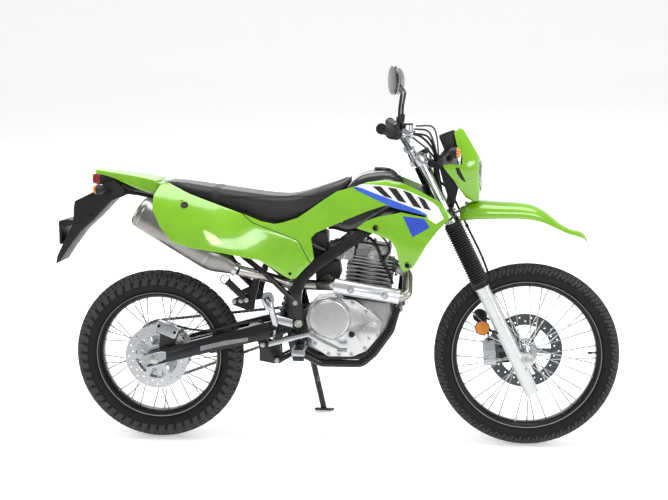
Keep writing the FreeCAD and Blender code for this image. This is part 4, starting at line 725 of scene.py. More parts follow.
class Repeater(Shop):
    """A shop that also repeats a template over points, round an axle or along a loop, by Geometry Nodes."""

    @staticmethod
    def _tree(name: str, inputs: Sequence[tuple[str, str]]) -> tuple[Tree, Node]:
        """Empty tree with geometry in and out.

        Args:
            name: Name of the tree.
            inputs: Further inputs as (name, socket type).

        Returns:
            The tree and its input node.
        """
        tree = bpy.data.node_groups.new(name, "GeometryNodeTree")
        tree.interface.new_socket("Geometry", in_out="INPUT", socket_type="NodeSocketGeometry")
        for label, kind in inputs:
            tree.interface.new_socket(label, in_out="INPUT", socket_type=kind)
        tree.interface.new_socket("Geometry", in_out="OUTPUT", socket_type="NodeSocketGeometry")
        return tree, add_node(tree, "NodeGroupInput")

    @staticmethod
    def _end(tree: Tree, geometry: Socket, finish: Socket) -> None:
        """Ends a tree in real geometry with its material."""
        real = add_node(tree, "GeometryNodeRealizeInstances", links={"Geometry": geometry})
        dressed = add_node(
            tree, "GeometryNodeSetMaterial", links={"Geometry": real.outputs[0], "Material": finish})
        add_node(tree, "NodeGroupOutput", links={"Geometry": dressed.outputs[0]})

    def _run(self, obj: Obj, tree: Tree, values: dict) -> Obj:
        """Runs a tree on an object and keeps the plain mesh.

        Args:
            obj: Object that gets the modifier.
            tree: Node tree.
            values: Input names with their values.

        Returns:
            The object with its new mesh.
        """
        step = obj.modifiers.new("repeat", "NODES")
        step.node_group = tree
        for item in tree.interface.items_tree:
            if item.item_type == "SOCKET" and item.in_out == "INPUT" and item.name in values:
                step[item.identifier] = values[item.name]
        self.baked(obj)
        bpy.data.node_groups.remove(tree)
        return obj

    @staticmethod
    def _template(bm: Mesh) -> Obj:
        """Object of a template given in mm."""
        outward(bm)
        bmesh.ops.scale(bm, vec=Vector((MM, MM, MM)), verts=bm.verts)
        mesh = as_mesh("template", bm)
        mesh.shade_smooth()
        mesh.set_sharp_from_angle(angle=math.radians(32))
        obj = linked("template", mesh)
        return obj

    @staticmethod
    def _drop(obj: Obj) -> None:
        """Deletes a template."""
        mesh = obj.data
        bpy.data.objects.remove(obj)
        bpy.data.meshes.remove(mesh)

    def scatter(self, name: str, template: Mesh, places: Iterable[tuple[Point, Point]], finish: Finish,
                slot: str = "") -> Obj:
        """Puts a template at places.

        Args:
            name: Name of the piece.
            template: Template along +Z, in mm.
            places: (point, outward direction) pairs in the upright frame, in mm.
            finish: Material.
            slot: Material slot of the record, where it isn't the finish's own.

        Returns:
            The placed piece.
        """
        spots = [(ROW @ (Vector(p) * MM), ROW.to_3x3() @ Vector(d)) for p, d in places]
        mesh = bpy.data.meshes.new(name)
        mesh.from_pydata([p for p, _ in spots], [], [])
        facing = mesh.attributes.new("facing", "FLOAT_VECTOR", "POINT")
        facing.data.foreach_set("vector", [c for _, d in spots for c in d])
        obj = linked(name, mesh)
        pattern = self._template(template)
        tree, given = self._tree(
            "scatter", [("Fastener", "NodeSocketObject"), ("Finish", "NodeSocketMaterial")])
        info = add_node(tree, "GeometryNodeObjectInfo", links={"Object": given.outputs["Fastener"]})
        way = add_node(
            tree, "GeometryNodeInputNamedAttribute", {"data_type": "FLOAT_VECTOR", "Name": "facing"})
        turn = add_node(tree, "FunctionNodeAlignRotationToVector", {"axis": "Z"}, {"Vector": way.outputs[0]})
        copies = add_node(tree, "GeometryNodeInstanceOnPoints", links={
            "Points": given.outputs["Geometry"], "Instance": info.outputs["Geometry"],
            "Rotation": turn.outputs[0]})
        self._end(tree, copies.outputs[0], given.outputs["Finish"])
        self._run(obj, tree, {"Fastener": pattern, "Finish": finish.material()})
        self._drop(pattern)
        return self.place(obj, finish, slot=slot)

    def ring(self, name: str, template: Mesh, centre: Point, count: int, finish: Finish,
             phase_deg: float = 0.0) -> Obj:
        """Repeats a template round a wheel axle.

        Args:
            name: Name of the piece.
            template: One pitch, drawn at +X from the axle, in mm.
            centre: Axle point in the upright frame, in mm.
            count: Number of copies.
            finish: Material.
            phase_deg: Turn of the first copy.

        Returns:
            The placed piece.
        """
        pattern = self._template(template)
        obj = linked(name, bpy.data.meshes.new(name))
        tree, given = self._tree("ring", [("Template", "NodeSocketObject"), ("Count", "NodeSocketInt"),
                                          ("Phase", "NodeSocketFloat"), ("Finish", "NodeSocketMaterial")])
        info = add_node(tree, "GeometryNodeObjectInfo", links={"Object": given.outputs["Template"]})
        points = add_node(tree, "GeometryNodePoints", links={"Count": given.outputs["Count"]})
        index = add_node(tree, "GeometryNodeInputIndex")
        share = add_node(tree, "ShaderNodeMath", {"operation": "DIVIDE"},
                         {0: index.outputs[0], 1: given.outputs["Count"]})
        angle = add_node(tree, "ShaderNodeMath", {"operation": "MULTIPLY_ADD", 1: 2 * math.pi},
                         {0: share.outputs[0], 2: given.outputs["Phase"]})
        turn = add_node(tree, "FunctionNodeAxisAngleToRotation", {"Axis": (0, 1, 0)},
                        {"Angle": angle.outputs[0]})
        copies = add_node(tree, "GeometryNodeInstanceOnPoints", links={
            "Points": points.outputs[0], "Instance": info.outputs["Geometry"], "Rotation": turn.outputs[0]})
        self._end(tree, copies.outputs[0], given.outputs["Finish"])
        self._run(obj, tree, {"Template": pattern, "Count": count, "Phase": math.radians(phase_deg),
                              "Finish": finish.material()})
        self._drop(pattern)
        obj.data.transform(ROW @ Matrix.Translation(Vector(centre) * MM))
        return self.place(obj, finish)

    def loop(self, name: str, first: Mesh, second: Mesh, path: Sequence[Vector],
             count: int, finish: Finish, stands_for: Sequence[str] = ()) -> Obj:
        """Repeats two templates in turn along a closed path.

        Args:
            name: Name of the piece.
            first: Template along +X, in mm.
            second: The other template.
            path: Points of the loop in the upright frame, in mm.
            count: Number of copies, even.
            finish: Material.
            stands_for: Nodes that it replaces.

        Returns:
            The placed piece.
        """
        patterns = [self._template(first), self._template(second)]
        mesh = bpy.data.meshes.new(name)
        mesh.from_pydata([p * MM for p in path], [(i, (i + 1) % len(path)) for i in range(len(path))], [])
        obj = linked(name, mesh)
        tree, given = self._tree("loop", [("First", "NodeSocketObject"), ("Second", "NodeSocketObject"),
                                          ("Count", "NodeSocketInt"), ("Finish", "NodeSocketMaterial")])
        curve = add_node(tree, "GeometryNodeMeshToCurve", links={"Mesh": given.outputs["Geometry"]})
        points = add_node(tree, "GeometryNodeCurveToPoints", {"mode": "COUNT"},
                          {"Curve": curve.outputs[0], "Count": given.outputs["Count"]})
        turn = add_node(tree, "FunctionNodeAlignRotationToVector", {"axis": "X", "pivot_axis": "Y"},
                        {"Vector": points.outputs["Tangent"]})
        index = add_node(tree, "GeometryNodeInputIndex")
        odd = add_node(tree, "ShaderNodeMath", {"operation": "MODULO", 1: 2.0}, {0: index.outputs[0]})
        even = add_node(tree, "ShaderNodeMath", {"operation": "SUBTRACT", 0: 1.0}, {1: odd.outputs[0]})
        both = add_node(tree, "GeometryNodeJoinGeometry")
        for label, pick in (("First", even), ("Second", odd)):
            info = add_node(tree, "GeometryNodeObjectInfo", links={"Object": given.outputs[label]})
            copies = add_node(tree, "GeometryNodeInstanceOnPoints", links={
                "Points": points.outputs["Points"], "Selection": pick.outputs[0],
                "Instance": info.outputs["Geometry"], "Rotation": turn.outputs[0]})
            tree.links.new(copies.outputs[0], both.inputs[0])
        self._end(tree, both.outputs[0], given.outputs["Finish"])
        self._run(obj, tree, {"First": patterns[0], "Second": patterns[1], "Count": count,
                              "Finish": finish.material()})
        for pattern in patterns:
            self._drop(pattern)
        obj.data.transform(ROW)
        return self.place(obj, finish, stands_for)


@dataclass
class Wheel:
    """One wheel: tyre with its tread, rim, spokes, hub and disc.

    Attributes:
        end: Name of the end, "front" or "rear".
        body: Body that it turns with.
        axle: Axle point.
        outer_r: Radius over the tread.
        half_w: Half width of the tyre.
        rim_r: Inner radius of the rim.
        rim_half_w: Half width of the rim.
        flange_h: Height of the rim's flange.
        hub_r: Radius of the hub's flange.
        flange_y: Distance of the flanges from the middle.
        depth: Depth of the tread.
        pitches: Tread pitches round the tyre.
        blocks: Tread blocks of one pitch as (y from, y to, start, end, skew), lengths in pitches.
        lugs: Shoulder lugs of one pitch as (start, end, length as a share of the half width).
        disc_finish: Finish of the brake disc.
        spokes: Number of spokes.
    """

    end: str
    body: Body
    axle: Vector
    outer_r: float
    half_w: float
    rim_r: float
    rim_half_w: float
    flange_h: float
    hub_r: float
    flange_y: float
    depth: float
    pitches: int
    blocks: list[tuple[float, float, float, float, float]]
    lugs: list[tuple[float, float, float]]
    disc_finish: Finish = DISC_STEEL
    spokes: int = 36

    def crown_r(self, y: float, sink: float = 0.0) -> float:
        """Radius of the tread surface at a distance from the middle."""
        shoulder_r = self.outer_r - self.half_w * 0.38
        shoulder_y = self.half_w * 0.86
        drop = self.outer_r - shoulder_r
        round_r = (shoulder_y ** 2 + drop ** 2) / (2 * drop)
        return self.outer_r - round_r + math.sqrt(max(round_r ** 2 - y * y, 1)) - sink

    def build(self, shop: Repeater) -> None:
        """Makes and places every piece of the wheel."""
        self.carcass(shop)
        shop.ring(self.end + "_tread", self.pitch(), self.axle, self.pitches, TYRE_RUBBER)
        shop.rounded(self.end + "_rim", RIM_ANODISED, 0.7)
        self.rim_edges(shop)
        self.hub(shop)
        shop.rounded(self.end + "_disc", self.disc_finish, 0.0)
        self.nipples(shop)
        self.valve(shop)

    def carcass(self, shop: Shop) -> None:
        """Tyre body under the tread, with the raised rings of its sidewalls."""
        bead = self.rim_r + 11 + self.flange_h + 1
        low_y = self.rim_half_w - 4
        top_r = self.crown_r(self.half_w * 0.8, self.depth)
        side = []
        for k in range(15):
            t = k / 14
            r = bead + (top_r - bead) * t
            y = low_y + (self.half_w - low_y) * math.sin(min(t * 1.25, 1.0) * math.pi / 2) ** 0.8
            y -= 3.4 * min(max((t - 0.46) / 0.12, 0), 1)
            if t > 0.78:
                y -= (t - 0.78) / 0.22 * self.half_w * 0.12
            side.append((r, y))
        raised = {2: 0.9, 3: 0.9, 8: -0.5}
        side = [(r, min(y + raised.get(k, 0.0), self.half_w - 0.2)) for k, (r, y) in enumerate(side)]
        crown = [(self.crown_r(self.half_w * 0.8 * (1 - k / 8), self.depth), self.half_w * 0.76 * (1 - k / 8))
                 for k in range(1, 16)]
        outer = side + crown + [(r, -y) for r, y in reversed(side)]
        inner = [(bead - 9, -low_y + 2), (bead - 9, low_y - 2)]
        bm = bmesh.new()
        lathe(bm, outer + inner, self.axle, ACROSS, 128, closed=True)
        # The body's darker rubber is painted shade between the tread blocks
        shop.add(self.end + "_tyre_body", bm, CARCASS_RUBBER, (self.end + "_tyre",), 40)

    def pitch(self) -> Mesh:
        """Blocks of one tread pitch, drawn about +X."""
        bm = bmesh.new()
        step = 2 * math.pi / self.pitches
        for y0, y1, a0, a1, skew in self.blocks:
            layers = []
            for sink, inset in ((self.depth + 1.5, 0.0), (0.5, 0.6), (0.05, 1.5)):
                pull = inset / (self.outer_r * step)
                layer = []
                for i in range(4):
                    y = y0 + (y1 - y0) * i / 3
                    y = min(max(y, min(y0, y1) + inset), max(y0, y1) - inset)
                    lean = skew * (i / 3 - 0.5)
                    layer.append([self.tread_point(self.crown_r(y, sink), y, share + lean)
                                  for share in (a0 + pull, a1 - pull)])
                layers.append(layer)
            block(bm, layers)
        for start, end, length in self.lugs:
            for side in (-1, 1):
                self.lug(bm, start + 0.25 * (side > 0), end + 0.25 * (side > 0), length, side)
        return bm

    def lug(self, bm: Mesh, start: float, end: float, length: float, side: int) -> None:
        """Adds one lug that runs from the tread's shoulder down the sidewall.

        Args:
            bm: Mesh of the pitch.
            start: Start in the pitch.
            end: End in the pitch.
            length: How far down it runs, as a share of the half width.
            side: Side of the tyre.
        """
        w = self.half_w
        outer = [(self.outer_r - w * 0.37, w * 0.85), (self.outer_r - w * 0.5, w * 0.925),
                 (self.outer_r - w * 0.68, w * 0.975), (self.outer_r - w * length, w * 0.985)]
        block(bm, [[[self.tread_point(r - depth * 0.3, side * (y - depth), share + 0.09 * i * side)
                     for share in (start + inset, end - inset)] for i, (r, y) in enumerate(outer)]
                   for depth, inset in ((4.6, 0.0), (0.0, 0.05))])

    def tread_point(self, r: float, y: float, share: float) -> Vector:
        """Point of one pitch at a radius, a distance from the middle and a share of the pitch."""
        angle = -(share - 0.5) * 2 * math.pi / self.pitches
        return Vector((r * math.cos(angle), y, r * math.sin(angle)))

    def rim_edges(self, shop: Shop) -> None:
        """Light grey rings on the edges of the rim's flanges beside the tyre: a painted highlight on the
        black rim.
        """
        bm = bmesh.new()
        top = self.rim_r + 11 + self.flange_h
        for side in (-1, 1):
            y = self.rim_half_w
            lathe(
                bm, [(top - 3.4, y - 1.6), (top - 3.4, y + 0.15), (top - 0.4, y + 0.15),
                (top + 0.1, y - 0.5), (top + 0.1, y - 1.6)], self.axle, (0, side, 0), 128, closed=True)
        shop.add(self.end + "_rim_edges", bm, RIM_HIGHLIGHT)

    def hub(self, shop: Shop) -> None:
        """Hub and spokes, with steel on the spokes and bright alloy on the hub."""
        shop.parted(
            self.end + "_hub", BRIGHT_ALLOY, 0.0, [(SPOKE_STEEL,
            lambda p: math.hypot(p.x - self.axle.x, p.z - self.axle.z) > self.hub_r + 1.5)])

    def spoke_ends(self) -> list[tuple[Vector, Vector]]:
        """Hub end and rim end of every spoke."""
        ends = []
        group = self.spokes // 4
        step = 2 * math.pi / group
        for side in (-1, 1):
            for lay, lead in ((0, 1), (1, -1)):
                for i in range(group):
                    hub_a = step * (i + 0.5 * lay + 0.25 * (side > 0))
                    rim_a = hub_a + lead * math.radians(38)
                    hub = self.axle + Vector(((self.hub_r - 6) * math.cos(hub_a),
                                              side * (self.flange_y + (3.0 if lay else -3.0)),
                                              (self.hub_r - 6) * math.sin(hub_a)))
                    rim = self.axle + Vector(((self.rim_r + 3) * math.cos(rim_a),
                                              side * (11.0 if lay else 4.0),
                                              (self.rim_r + 3) * math.sin(rim_a)))
                    ends.append((hub, rim))
        return ends

    def nipples(self, shop: Repeater) -> None:
        """Spoke nipples standing out of the rim."""
        nipple = bmesh.new()
        lathe(nipple, [(0, 0), (3.6, 0), (3.6, 3), (2.9, 4), (2.9, 15), (2.2, 16.5), (0, 16.5)], (0, 0, 0),
              UP, 8)
        places = []
        for hub, rim in self.spoke_ends():
            inwards = (hub - rim).normalized()
            places.append((rim + inwards * 1.5, inwards))
        shop.scatter(self.end + "_nipples", nipple, places, ZINC_BOLT, slot="bright_alloy")

    def valve(self, shop: Shop) -> None:
        """Tyre valve with its cap and lock nut."""
        bm = bmesh.new()
        angle = math.radians(2)
        out = Vector((math.cos(angle), 0, math.sin(angle)))
        lathe(
            bm, [(0, 0), (6.5, 0), (6.5, 4), (3.2, 4.5), (3.2, 16), (4.4, 16.5), (4.4, 29), (3.6, 31),
            (0, 31)], self.axle + out * (self.rim_r + 2), -out, 12)
        shop.add(self.end + "_valve", bm, BLACK_BOLT, slot="black_rim")


@dataclass
class Drive:
    """Chain, sprockets and the rear sprocket's bolts."""

    chain_y: float = 66.0
    front: Vector = field(default_factory=lambda: Vector((612.0, 0, 470.0)))
    front_r: float = 36.0
    rear_r: float = 113.0
    pin_pitch: float = 15.875

    def build(self, shop: Repeater) -> None:
        """Makes and places the drive."""
        shop.body = Body.REAR_WHEEL
        shop.rounded("rear_sprocket", DISC_STEEL, 0.4, 1)
        shop.ring("rear_sprocket_bolts", self.bolt(), REAR_AXLE, 6, ZINC_BOLT, 30)
        shop.body = Body.CHASSIS
        path = self.path()
        length = sum((b - a).length for a, b in zip(path, path[1:] + path[:1]))
        count = round(length / self.pin_pitch / 2) * 2
        shop.loop("chain_links", self.link(9.0), self.link(12.4), path, count, CHAIN_STEEL, ("chain",))
        self.driver(shop)

    def path(self) -> list[Vector]:
        """Pin line of the chain round both sprockets."""
        run = self.front - REAR_AXLE
        tilt = math.atan2(run.z, run.x)
        spread = math.acos((self.rear_r - self.front_r) / run.length)
        points = []
        for centre, r, start, stop in ((REAR_AXLE, self.rear_r + 2.6, tilt + spread,
                                        tilt + 2 * math.pi - spread),
                                       (self.front, self.front_r + 3.6, tilt - spread, tilt + spread)):
            for k in range(49):
                a = start + (stop - start) * k / 48
                points.append(Vector((centre.x + r * math.cos(a), self.chain_y, centre.z + r * math.sin(a))))
        return points

    def link(self, across: float) -> Mesh:
        """One link: two waisted side plates, rollers and pins, along +X."""
        bm = bmesh.new()
        half = self.pin_pitch / 2
        outline = []
        for sign in (1, -1):
            for k in range(7):
                a = -math.pi / 2 + math.pi * k / 6
                outline.append((sign * (half + 5.4 * math.cos(a)), sign * 5.4 * math.sin(a)))
            outline.append((0, sign * 3.9))
        for side in (-1, 1):
            plate(bm, outline, side * across / 2, side * 1.6)
        for x in (-half, half):
            lathe(bm, [(0, -across / 2), (4.4, -across / 2), (4.4, across / 2), (0, across / 2)], (x, 0, 0),
                  ACROSS, 10)
            if across > 10:
                lathe(bm, [(0, -across / 2 - 2.2), (2.3, -across / 2 - 2.2), (2.3, across / 2 + 2.2),
                           (0, across / 2 + 2.2)], (x, 0, 0), ACROSS, 8)
        return bm

    def bolt(self) -> Mesh:
        """Sprocket bolt head at +X, outside the sprocket."""
        bm = hex_bolt(12, 6)
        bmesh.ops.rotate(bm, cent=(0, 0, 0), matrix=Matrix.Rotation(math.radians(-90), 3, "X"),
                         verts=bm.verts)
        bmesh.ops.translate(bm, vec=(40, self.chain_y + 3.5, 0), verts=bm.verts)
        return bm

    def driver(self, shop: Shop) -> None:
        """Driving sprocket with its teeth and nut."""
        bm = bmesh.new()
        corners = 14 * 4
        outline = []
        for k in range(corners):
            a = 2 * math.pi * k / corners
            r = self.front_r + (1.6, -1.2, -2.4, -1.2)[k % 4]
            outline.append((self.front.x + r * math.cos(a), self.front.z + r * math.sin(a)))
        plate(bm, outline, self.chain_y - 3.4, 6.8)
        lathe(bm, [(0, -8), (12, -8), (12, 6), (15, 6), (15, 12), (10, 13), (0, 13)],
              (self.front.x, self.chain_y, self.front.z), ACROSS, 20)
        shop.add("driving_sprocket", bm, CHAIN_STEEL)


@dataclass
class Chassis:
    """Frame, subframe, swingarm, shock, stand, foot controls and rear brake."""

    pivot: tuple[float, float] = (541.0, 464.0)
    pivot_face_y: float = 113.0
    strip: tuple[tuple[float, float], ...] = ((174, 372), (174, 354), (262, 376), (353, 394), (353, 408),
                                              (262, 394))

    def build(self, shop: Repeater) -> None:
        """Makes and places the chassis pieces."""
        shop.rounded("frame", FRAME_ENAMEL, 1.2)
        shop.rounded("subframe", FRAME_ENAMEL, 0.6)
        shop.rounded("swingarm", FRAME_ENAMEL, 1.6)
        shop.rounded("axles", ZINC_BOLT, 0.8)
        shop.parted("rear_caliper", BRIGHT_ALLOY, 0.9, [(BLACK_ALLOY, lambda p: p.z < 408)])
        shop.parted(
            "shock", FRAME_ENAMEL, 0.7, [(BRIGHT_ALLOY,
            lambda p: abs(p.y) > 45.2 or (p.x < 470 and abs(p.y) < 14 and p.z < 362))])
        shop.parted(
            "foot_controls", FRAME_ENAMEL, 0.9, [(BRIGHT_ALLOY,
            lambda p: p.y < -146.5 and p.z > 365 and p.x > 430),
            (BRIGHT_ALLOY, lambda p: -140 < p.y < -100 and p.z > 430 and p.z < 545),
            (DISC_STEEL, lambda p: abs(p.y) > 132 and p.z < 372)], slot="disc_steel")
        shop.body = Body.STAND
        shop.rounded("side_stand", FRAME_ENAMEL, 0.8)
        shop.body = Body.CHASSIS
        self.swingarm_strips(shop)
        self.adjusters(shop)
        self.peg_teeth(shop)
        self.brake_details(shop)
        self.stand_spring(shop)
        self.rails(shop)
        self.passenger_pegs(shop)
        shop.scatter("chassis_bolts", hex_bolt(14, 6), self.bolt_places(), ZINC_BOLT)

    def bolt_places(self) -> list[tuple[Point, Point]]:
        """Where the larger bolts of the frame and the linkage sit."""
        spots = []
        for side in (-1, 1):
            out = (0, side, 0)
            spots += [((self.pivot[0], side * self.pivot_face_y, self.pivot[1]), out),
                      ((398, side * 46, 368), out), ((452, side * 46, 310), out),
                      ((540, side * 105, 352), out), ((528, side * 105, 540), out)]
        return spots

    def swingarm_strips(self, shop: Shop) -> None:
        """Polished rubbing strips on the outer faces of the arms."""
        for side in (-1, 1):
            bm = bmesh.new()
            plate(bm, self.strip, side * 104.6, side * 1.2)
            beveled(bm, 0.4, 1)
            shop.add(f"swingarm_strip_{'right' if side < 0 else 'left'}", bm, STRIP_ALLOY)

    def adjusters(self, shop: Repeater) -> None:
        """Chain adjuster plates at the axle, their bolts and the axle washers."""
        bm = bmesh.new()
        for side in (-1, 1):
            outline = [
                (-46, 326), (-30, 338), (24, 349), (44, 348), (44, 322), (24, 312), (-30, 298), (-46, 304)]
            plate(bm, outline, side * 104.7, side * 4)
            lathe(bm, [(0, 0), (20, 0), (20, 2.4), (0, 2.4)], (0, side * 108.6, REAR_AXLE.z), (0, side, 0),
                  28)
        beveled(bm, 0.7, 1)
        shop.add("axle_adjusters", bm, BRIGHT_ALLOY)
        places = [((-45, side * 97, 312), (-1, 0, -0.25)) for side in (-1, 1)]
        shop.scatter("adjuster_bolts", hex_bolt(11, 14), places, ZINC_BOLT)

    def peg_teeth(self, shop: Repeater) -> None:
        """Teeth on the foot pegs."""
        tooth = bmesh.new()
        slab(tooth, [(-4, -2, -1), (4, -2, -1), (3, -1, 5), (-3, -1, 5)], (0, 3.4, 0))
        places = []
        for side in (-1, 1):
            for i in range(6):
                for x in (530, 572):
                    places.append(((x, side * (138 + 13 * i), 385), (0, 0, 1)))
        shop.scatter("peg_teeth", tooth, places, DISC_STEEL)

    def brake_details(self, shop: Repeater) -> None:
        """Rear brake hose with its unions, the master cylinder's boot and the caliper bolts."""
        bm = bmesh.new()
        line = smooth_line([(436, -118, 470), (418, -112, 452), (400, -109, 470), (330, -108, 462),
                            (220, -108, 434), (140, -106, 436), (88, -96, 446)], 8)
        sweep(bm, line, 4.2, 10)
        for at in (line[6], line[-6]):
            lathe(bm, [(0, -5), (6.4, -5), (6.4, 5), (0, 5)], at, (1, 0, -0.2), 12)
        shop.add("rear_brake_hose", bm, SOFT_RUBBER)
        boot = bmesh.new()
        lathe(
            boot, [(0, 0), (11, 0), (15.4, 2), (15.4, 7), (11, 9), (15.4, 13), (11, 17), (14.6, 21),
            (11, 25), (0, 26)], (457, -118, 458), (-8, 0, -34), 18)
        shop.add("master_cylinder_boot", boot, SOFT_RUBBER)
        axis = math.radians(68)
        out = Vector((math.cos(axis), 0, math.sin(axis)))
        along = Vector((-out.z, 0, out.x))
        centre = REAR_AXLE + out * 112 + Vector((0, -84.5, 0))
        shop.scatter(
            "rear_caliper_bolts", socket_bolt(11, 5), [(centre + along * k + out * 6,
            (0, -1, 0)) for k in (-32, 32)], BLACK_BOLT, slot="bright_alloy")

    def rails(self, shop: Shop) -> None:
        """Lower rails of the subframe, the guard under the engine and the base under the tail."""
        bm = bmesh.new()
        for side in (-1, 1):
            line = smooth_line([(300, side * 84, 742), (331, side * 88, 713), (428, side * 96, 637),
                                (488, side * 97, 581), (530, side * 97, 540)], 6)
            sweep(bm, line, 10.5, 16)
        shop.add("lower_rails", bm, FRAME_ENAMEL)
        guard = bmesh.new()
        plate(guard, [(566, 352), (592, 333), (634, 326), (769, 329), (812, 355), (850, 406), (842, 414),
                      (806, 370), (765, 343), (634, 341), (598, 348), (574, 364)], -89.9, 179.8)
        beveled(guard, 1.0, 1)
        shop.add("engine_guard", guard, BLACK_ALLOY)
        base = bmesh.new()
        plate(base, [(-190, 1000), (-96, 978), (-40, 962), (-30, 944), (-90, 938), (-168, 943), (-188, 962)],
              -42, 84)
        beveled(base, 2.0, 1)
        shop.add("tail_base", base, BLACK_PP)
        joint = bmesh.new()
        plate(joint, [(12, 979), (40, 973), (60, 960), (84, 946), (70, 937), (20, 938), (0, 952)], -80, 160)
        beveled(joint, 1.5, 1)
        shop.add("tail_joint", joint, LIME)
        bracket = bmesh.new()
        plate(bracket, [(406, 556), (414, 578), (441, 584), (455, 558), (450, 529), (424, 526)], -124, 12)
        beveled(bracket, 1.2, 1)
        shop.add("master_cylinder_bracket", bracket, BRIGHT_ALLOY)

    def passenger_pegs(self, shop: Repeater) -> None:
        """Folded passenger foot pegs on their brackets."""
        plates, pegs, bolts = bmesh.new(), bmesh.new(), []
        for side in (-1, 1):
            outline = [(388, 668), (404, 656), (392, 590), (384, 560), (378, 516), (350, 512), (328, 520),
                       (298, 530), (298, 552), (330, 566), (352, 574), (366, 590), (376, 640)]
            plate(plates, outline, side * 104, side * 5)
            hinge, tip = Vector((352, side * 124, 553)), Vector((280, side * 126, 622))
            way = (tip - hinge).normalized()
            length = (tip - hinge).length
            line, radii = [hinge, hinge + way * 10], [9, 9]
            for i in range(9):
                at = 12 + (length - 14) * i / 9
                for share, r in ((0.1, 12.5), (0.3, 14.5), (0.7, 14.5), (0.9, 12.5)):
                    line.append(hinge + way * (at + (length - 14) / 9 * share))
                    radii.append(r)
            line.append(tip)
            radii.append(12)
            sweep(pegs, line, radii, 20)
            ring = circle(tip + way * 8, (17, 0, 0), (0, 0, 17), 24)
            sweep(pegs, ring + ring[:1], 2.0, 6)
            sweep(plates, [(352, side * 106, 553), (352, side * 136, 553)], 7.5, 16)
            for x, z in ((352, 553), (328, 546), (302, 542)):
                bolts.append(((x, side * (136 if x == 352 else 108.6), z), (0, side, 0)))
        shop.add("passenger_peg_brackets", plates, FRAME_ENAMEL)
        shop.add("passenger_pegs", pegs, SOFT_RUBBER)
        shop.scatter("passenger_peg_bolts", hex_bolt(13, 6), bolts, ZINC_BOLT)

    def stand_spring(self, shop: Shop) -> None:
        """Coil spring beside the stand's leg."""
        bm = bmesh.new()
        start, end = Vector((566, 143, 300)), Vector((585, 186, 180))
        way = end - start
        across = way.orthogonal().normalized()
        other = way.normalized().cross(across)
        turns = 16
        coil = [start + way * (k / (turns * 10)) + (across * math.cos(2 * math.pi * k / 10)
                                                    + other * math.sin(2 * math.pi * k / 10)) * 6.0
                for k in range(turns * 10 + 1)]
        sweep(bm, coil, 1.4, 5)
        shop.body = Body.STAND
        shop.add("stand_spring", bm, ZINC_BOLT)
        shop.body = Body.CHASSIS


